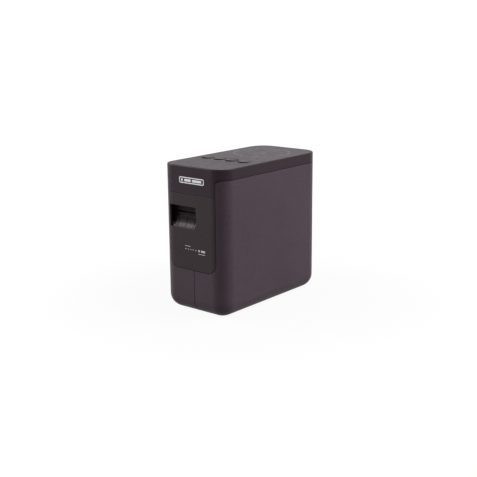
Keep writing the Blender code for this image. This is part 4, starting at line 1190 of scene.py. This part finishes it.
def label_sign():
    """A strip of tape in outline, with a hole at one end and lines of print as bars."""
    left, right, low, high = -15.0, 16.0, 126.7, 132.6
    sign = as_object("apron_sign", bar((left, right), (low, high), 1.6))
    carve(sign, bar((left + 0.9, right - 0.9), (low + 0.9, high - 0.9), 0.8))
    middle_z = (low + high) / 2
    inside = [rod("Y", (left + 3.4, middle_z), 1.25, FRONT_Y - INK, FRONT_Y + INK, 24)]
    for start, end in ((6.6, 14.6), (16.2, 27.8)):
        inside.append(bar((left + start, left + end), (middle_z - 1.15, middle_z + 1.15), 0.4))
    carve(sign, *inside, operation="UNION")
    return finish_piece(sign, white_ink, "housing", "trim_plastic")


def cut_sign():
    """A dashed cut line with a square tab either side of it."""
    dashes = [bar((x, x + 1.9), (63.3, 63.8), 0.2) for x in (-9.4, -6.2, -3.0, 0.2, 3.4)]
    tabs = [bar((7.4, 9.4), (62.6, 64.6), 0.3), bar((11.0, 16.0), (62.6, 64.6), 0.3),
            bar((7.4, 16.0), (60.4, 60.9), 0.2), bar((-9.4, -2.4), (66.2, 66.7), 0.2)]
    return finish_piece(as_object("panel_sign", joined(*dashes, *tabs)), silver_ink,
                        "housing", "trim_plastic")


label_sign()
cut_sign()

# %% Print the lid
TOUCH = (-0.7, 30.0)
TOUCH_RADIUS = 28.0


def arc(radius, width, start, turn, steps):
    """A flat band of ink round the touch point: a small upright face spun about it."""
    bm = bmesh.new()
    low, high = TOP_Z - INK, TOP_Z + INK
    sides = (radius - width / 2, low), (radius + width / 2, low), (radius + width / 2, high), \
        (radius - width / 2, high)
    face = bm.faces.new([bm.verts.new((TOUCH[0] + u, TOUCH[1], z)) for u, z in sides])
    hub = Vector((*TOUCH, 0))
    bmesh.ops.rotate(bm, verts=bm.verts[:], cent=hub, matrix=Matrix.Rotation(math.radians(start), 3, "Z"))
    bmesh.ops.spin(bm, geom=[face], cent=hub, axis=(0, 0, 1), angle=math.radians(turn), steps=steps,
                   use_merge=False)
    bmesh.ops.recalc_face_normals(bm, faces=bm.faces[:])
    return bm


ring = turned([(TOUCH_RADIUS - 0.25, TOP_Z - INK), (TOUCH_RADIUS - 0.25, TOP_Z + INK),
               (TOUCH_RADIUS + 0.25, TOP_Z + INK), (TOUCH_RADIUS + 0.25, TOP_Z - INK),
               (TOUCH_RADIUS - 0.25, TOP_Z - INK)], "Z", TOUCH, 128)
finish_piece(as_object("touch_ring", ring), shadow_ink, "housing", "trim_plastic")
waves = [arc(radius, 0.6, -40, 80, 12) for radius in (1.6, 3.0, 4.4)]
finish_piece(as_object("touch_waves", joined(*waves)), shadow_ink, "housing", "trim_plastic")
# %% [markdown]
# ## Finishes of the inner parts
#
# Inside, each part wears the finish of what it is made of. One table says which, and which
# slot of the record that is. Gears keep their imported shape, because their teeth are already
# true, and only change their finish.

# %% List the finishes
FEET = tuple(f"foot_{end}_{side}" for end in ("front", "rear") for side in ("left", "right"))
CELLS = tuple(f"cell_{end}_{i}" for end in ("front", "rear") for i in (1, 2, 3))
FINISHES = (
    (inner_abs, "inner_plastic", ("base_plate", "battery_cover", "battery_box", "chassis", "dc_jack")),
    (foot_rubber, "foot_rubber", FEET),
    (platen_rubber, "platen_rubber", ("platen_roller",)),
    (pin_steel, "bright_steel", ("platen_shaft", "holder_pivot_pin", "holder_spring", "motor_pinion",
                                 "blade_pivot_pin")),
    (blade_steel_painted_dark, "bright_steel", ("moving_blade", "fixed_blade")),
    (hinge_steel, "bright_steel", ("cover_hinge_pin",)),
    (zinc, "zinc_plate", ("roller_holder", "gear_plate", "cutter_frame", "contact_front", "contact_rear")),
    (nickel, "bright_steel", ("drive_motor", "cutter_motor", "usb_socket")),
    (aluminium, "heat_sink_aluminium", ("heat_sink",)),
    (alumina, "head_ceramic", ("print_head",)),
    (acetal, "gear_plastic", ("platen_gear", "idler_gear_small", "idler_gear_large", "ribbon_drive",
                              "cutter_gear", "tape_core", "ribbon_supply_spool", "ribbon_take_up_spool")),
    (case_ps, "case_plastic", ("cassette_case", "cassette_lid")),
    (film, "label_film", ("tape_roll", "label_tape")),
    (mask, "circuit_board", ("key_board", "antenna_board", "main_board")),
    (sleeve, "cell_sleeve", CELLS),
)
WEARS = {name: (look, slot) for look, slot, names in FINISHES for name in names}
RIDES = {name: body for body, names in frame["record"]["behaviour"]["bodies"].items() for name in names}

for name, (look, slot) in WEARS.items():
    slots = frame["nodes"][name].data.materials
    slots.clear()
    slots.append(look)
print("dressed:", len(WEARS), "parts")

# %% [markdown]
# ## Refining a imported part
#
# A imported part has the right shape, but every edge of it is sharp, and a sharp edge never
# catches the light. A copy is merged, its flat faces are made whole, details are added and cut,
# and its edges are eased by what its process leaves: a little on stamped sheet, more on
# moulded plastic. The copy then stands for the part. A detail of another material is a piece of
# its own that rides on the same body.

# %% Helpers for refining


def refined(name, width, add=(), cut=(), steps=2):
    bm = in_millimetres(frame["nodes"][name].data)
    bmesh.ops.remove_doubles(bm, verts=bm.verts[:], dist=0.005)
    bmesh.ops.dissolve_limit(bm, angle_limit=math.radians(1), verts=bm.verts[:], edges=bm.edges[:])
    obj = as_object(name + "_finished", bm)
    if add:
        carve(obj, *add, operation="UNION")
    if cut:
        carve(obj, *cut)
    clean(obj)
    ease(obj, width, steps)
    look, slot = WEARS[name]
    return finish_piece(obj, look, RIDES[name], slot, name)


def detail(name, part, look, slot, shapes, width=0.0):
    """Small shapes of another material on the body of a part."""
    obj = as_object(name, joined(*shapes))
    if width:
        ease(obj, width)
    return finish_piece(obj, look, RIDES[part], slot)


EASES = (                  # millimetres, and the parts whose edges are eased by that much
    (0.15, ("contact_front", "contact_rear", "gear_plate", "cutter_frame")),
    (0.2, ("roller_holder",)),
    (0.4, ("platen_roller",)),
    (0.3, ("platen_shaft", "holder_pivot_pin", "cover_hinge_pin")),
    (0.08, ("fixed_blade", "moving_blade")),
    (0.2, ("print_head", "heat_sink", "tape_core", "ribbon_supply_spool", "ribbon_take_up_spool")),
    (0.3, ("tape_roll", "battery_box", "chassis")),
    (0.15, ("blade_pivot_pin",)),
)
for width, names in EASES:
    for name in names:
        refined(name, width)

# %% [markdown]
# ## Tape cassette
#
# The cassette is a two-part polystyrene case. The lid has a sunk field for a sticker, a raised
# ring over the roll's hub, and a long window that shows how much tape is left. Finger ridges run
# down its rear edge, where it is gripped to pull it out.

# %% Make the cassette's case
lid_x, lid_y, lid_z = spot("cassette_lid")
roll_at = (middle("tape_roll").y, middle("tape_roll").z)
LABEL_Y, LABEL_Z = (-40.0, 30.0), (102.0, 115.0)


def cassette_lid():
    face = lid_x[0]
    hub = turned([(6.0, face - 0.35), (8.0, face - 0.35), (8.0, face + 0.4), (6.0, face + 0.4),
                  (6.0, face - 0.35)], "X", roll_at, 48)
    ridges = [tablet("X", (lid_y[1] - 2.4 - 2.2 * i, lid_y[1] - 1.4 - 2.2 * i), (60, 96), 0.4,
                     face - 0.4, face + 0.4) for i in range(3)]
    sunk = tablet("X", LABEL_Y, LABEL_Z, 1.5, face - 1, face + 0.3)
    holes = [rod("X", (y, spot("ribbon_drive")[2][0] + 7.8), 3.0, face - 1, face + 0.8, 32)
             for y in (-34.0, -14.0)]
    window = tablet("X", (roll_at[0] - 12, roll_at[0] + 12), (roll_at[1] - 3.9, roll_at[1] + 3.9), 3.8,
                    face - 1, lid_x[1] + 1)
    return refined("cassette_lid", 0.3, ridges, [sunk, window] + holes), hub


_, hub_ring = cassette_lid()
detail("cassette_hub_ring", "cassette_lid", case_ps, "case_plastic", [hub_ring], 0.12)
grooves = [block((lid_x[1] + 6 + 7 * i, lid_x[1] + 6.8 + 7 * i), (lid_y[1] - 0.5, lid_y[1] + 1), lid_z)
           for i in range(3)]
refined("cassette_case", 0.3, cut=grooves)

# %% Stick on its plain label
sticker = ink("coated_paper_sticker", "e9e6dc", "f3f0e8", 0.5)
stripe = ink("printed_grey_band", "6d7480", "7b828e", 0.45)
inset = 0.5
paper = tablet("X", (LABEL_Y[0] + inset, LABEL_Y[1] - inset), (LABEL_Z[0] + inset, LABEL_Z[1] - inset),
               1.0, lid_x[0] + 0.15, lid_x[0] + 0.32)
band = tablet("X", (LABEL_Y[0] + 3, LABEL_Y[1] - 3), (LABEL_Z[0] + 2, LABEL_Z[0] + 5), 0.4,
              lid_x[0] + 0.1, lid_x[0] + 0.2)
detail("cassette_sticker", "cassette_lid", sticker, "case_plastic", [paper])
detail("cassette_sticker_band", "cassette_lid", stripe, "case_plastic", [band])

# %% [markdown]
# ## Underside
#
# The base is screwed on with four small screws sunk in wells. The battery cover slides back, so
# it has cross ridges for a thumb and a sunk arrow that shows the way. The feet are pressed discs
# with a ring groove, which keeps them from sticking to a table like a suction cup.

# %% Finish the base, its screws and feet
base_low = spot("base_plate")[2][0]
SCREW_SPOTS = ((-9.0, -56.5), (9.0, -56.5), (-9.0, 56.5), (9.0, 56.5))
wells = [rod("Z", at, 2.7, base_low - 1, base_low + 1.6, 32) for at in SCREW_SPOTS]
vents = [tablet("Z", (-12.0, 12.0), (y, y + 1.0), 0.49, base_low - 1, base_low + 0.8)
         for y in (46.5, 49.0, 51.5)]
refined("base_plate", 0.3, cut=wells + vents)


def screws(spots, low, radius=2.1, high=1.3):
    """Pan heads with a cross driven in, seen from below."""
    heads = [turned([(0, low), (radius * 0.7, low), (radius, low + 0.5), (radius, low + high),
                     (0, low + high)], "Z", at, 32) for at in spots]
    piece = as_object("base_screws", joined(*heads))
    crosses = []
    for x, y in spots:
        crosses.append(block((x - 1.2, x + 1.2), (y - 0.25, y + 0.25), (low - 1, low + 0.6)))
        crosses.append(block((x - 0.25, x + 0.25), (y - 1.2, y + 1.2), (low - 1, low + 0.59)))
    carve(piece, *crosses)
    return finish_piece(piece, zinc, "housing", "bright_steel")


screws(SCREW_SPOTS, base_low + 0.3)
cover_y = spot("battery_cover")[1]
ridges = [tablet("Z", (-9.0, 9.0), (cover_y[0] + 8 + 2.4 * i, cover_y[0] + 9.2 + 2.4 * i), 0.5,
                 base_low - 1, base_low + 0.6) for i in range(6)]
arrow = drawn_out([(-4.0, cover_y[0] + 31, 0.4), (4.0, cover_y[0] + 31, 0.4), (0, cover_y[0] + 26, 0.4)],
                  "Z", base_low - 1, base_low + 0.4)
refined("battery_cover", 0.35, cut=ridges + [arrow])
for name in FEET:
    centre = middle(name)
    ring = turned([(2.6, -1), (3.2, -1), (3.2, 0.35), (2.6, 0.35), (2.6, -1)], "Z", (centre.x, centre.y), 40)
    refined(name, 0.4, cut=[ring], steps=3)

# %% [markdown]
# ## Cells, motors and sockets
#
# A cell's can is rolled in over its ends, so its edges are well rounded. The motors are
# drawn cans closed with a plastic end cap that carries two brass tags. The sockets get the dark
# tongue and the steel pin that a plug meets.

# %% Refine the electrical parts
for name in CELLS:
    refined(name, 0.7, steps=3)

brass = worked_metal("rolled_brass_tag", "b08d4a", "c4a25c", 0.3, ALONG_X)


def motor(name, axis, centre, radius, far_end):
    """Round the can, and put an end cap and two tags on its far end."""
    groove = turned([(radius - 0.3, far_end - 3.2), (radius + 1, far_end - 3.2),
                     (radius + 1, far_end - 2.6), (radius - 0.3, far_end - 2.6),
                     (radius - 0.3, far_end - 3.2)], axis, centre, 48)
    refined(name, 0.8, cut=[groove], steps=3)
    cap = turned([(0, far_end - 0.2), (radius * 0.8, far_end - 0.2), (radius * 0.8, far_end + 0.5),
                  (radius * 0.75, far_end + 0.7), (3.0, far_end + 0.7), (2.6, far_end + 0.2),
                  (0, far_end + 0.2)], axis, centre, 48)
    detail(name + "_cap", name, key_abs, "inner_plastic", [cap])
    tags = []
    for side in (-1, 1):
        u = (centre[0] + side * radius * 0.5 - 0.9, centre[0] + side * radius * 0.5 + 0.9)
        v = (centre[1] - 0.25, centre[1] + 0.25)
        tags.append(tablet(axis, u, v, 0.1, far_end + 0.5, far_end + 2.6))
    detail(name + "_tags", name, brass, "bright_steel", tags)


drive, cutter = middle("drive_motor"), middle("cutter_motor")
motor("drive_motor", "X", (drive.y, drive.z), 12.0, spot("drive_motor")[0][1])
motor("cutter_motor", "Y", (cutter.x, cutter.z), 8.0, spot("cutter_motor")[1][1])
refined("dc_jack", 0.3)
refined("usb_socket", 0.25)
jack, port = middle("dc_jack"), middle("usb_socket")
pin_y = spot("dc_jack")[1]
pin = turned([(0, pin_y[0] + 4), (1.15, pin_y[0] + 4), (1.15, pin_y[1] - 3.4), (0.8, pin_y[1] - 2.8),
              (0, pin_y[1] - 2.7)], "Y", (jack.x, jack.z), 24)
detail("jack_pin", "dc_jack", pin_steel, "bright_steel", [pin])
lining = tablet("Y", (port.x - 4.2, port.x + 4.2), (port.z - 3.85, port.z + 3.85), 0.3, pin_y[0] + 4,
                pin_y[1] - 6)
tongue = tablet("Y", (port.x - 2.85, port.x + 2.85), (port.z - 1.65, port.z + 1.65), 0.3, pin_y[0] + 4,
                pin_y[1] - 2.5)
detail("usb_tongue", "usb_socket", chute_abs, "inner_plastic", [lining, tongue], 0.15)

# %% [markdown]
# ## Circuit boards
#
# A board is a routed plate with holes for its screws, and its parts are soldered on: black
# moulded chips on rows of legs, and aluminium cans with a groove near the foot. The antenna
# under the lid is a flat copper coil of four turns.

# %% Populate the boards
BOARD_X, BOARD_Z = (-20.0, 30.0), (24.0, 124.0)
BOARD_Y = (58.0, 59.6)
SOLDER_Y = BOARD_Y[0] - 0.02           # the parts' feet, just clear of the plate
HOLE_IN = 2.7                          # from an edge to a screw hole's centre
plate = as_object("main_board_plate", tablet("Y", BOARD_X, BOARD_Z, 2.0, *BOARD_Y))
screw_x = (BOARD_X[0] + HOLE_IN, BOARD_X[1] - HOLE_IN)
carve(plate, *[rod("Y", at, 1.3, 50, 65, 20) for at in (
    (screw_x[0], 27), (screw_x[0], 121), (screw_x[1], 121), (screw_x[1], 27))])
ease(plate, 0.1)
finish_piece(plate, mask, "housing", "circuit_board", "main_board")
CHIPS = (                              # front face, and limits in x and z
    (56.2, (8, 24), (70, 86)),
    (55.0, (10, 20), (94, 104)),
    (55.6, (-16, -6), (50, 64)),
    (57.0, (-14, -9), (88, 92)),
    (57.0, (-14, -9), (98, 102)),
)
chips = [block(x, (front, SOLDER_Y), z) for front, x, z in CHIPS]
detail("board_chips", "main_board", inner_abs, "inner_plastic", chips, 0.15)
LEG_ROWS = ((8.8, 11, (70, 86.9)), (-15.2, 7, (50, 64.9)))          # first x, count, heights
legs = [block((x, x + 0.5), (57.6, 57.95), (z - 1.2, z + 0.3)) for first, count, heights in LEG_ROWS
        for x in [first + 1.4 * i for i in range(count)] for z in heights]
detail("board_legs", "main_board", nickel, "bright_steel", legs)
CAN = [(0, SOLDER_Y), (3.9, SOLDER_Y), (3.9, 56.6), (3.6, 56.3), (3.6, 55.9), (3.9, 55.6), (3.9, 48.5),
       (3.4, 48.05), (0, 48.05)]
cans = [turned(CAN, "Y", (x, 50.0), 40) for x in (12.0, 22.0)]
detail("board_capacitors", "main_board", aluminium, "bright_steel", cans)
refined("key_board", 0.12)
refined("antenna_board", 0.12)
coil_x, coil_y, coil_z = spot("antenna_board")
copper = worked_metal("etched_copper_foil", "a8623a", "bf7a4e", 0.34, (1.0, 1.0, 1.0))
turns = []
for i in range(4):
    inset = 2.0 + 1.8 * i
    x, y = (coil_x[0] + inset, coil_x[1] - inset), (coil_y[0] + inset, coil_y[1] - inset)
    for u, v in ((x, (y[0], y[0] + 0.8)), (x, (y[1] - 0.8, y[1])),
                 ((x[0], x[0] + 0.8), (y[0] + 0.81, y[1] - 0.81)),
                 ((x[1] - 0.8, x[1]), (y[0] + 0.81, y[1] - 0.81))):
        turns.append(block(u, v, (coil_z[0] - 0.08, coil_z[0] + 0.02)))
detail("antenna_coil", "antenna_board", copper, "circuit_board", turns)
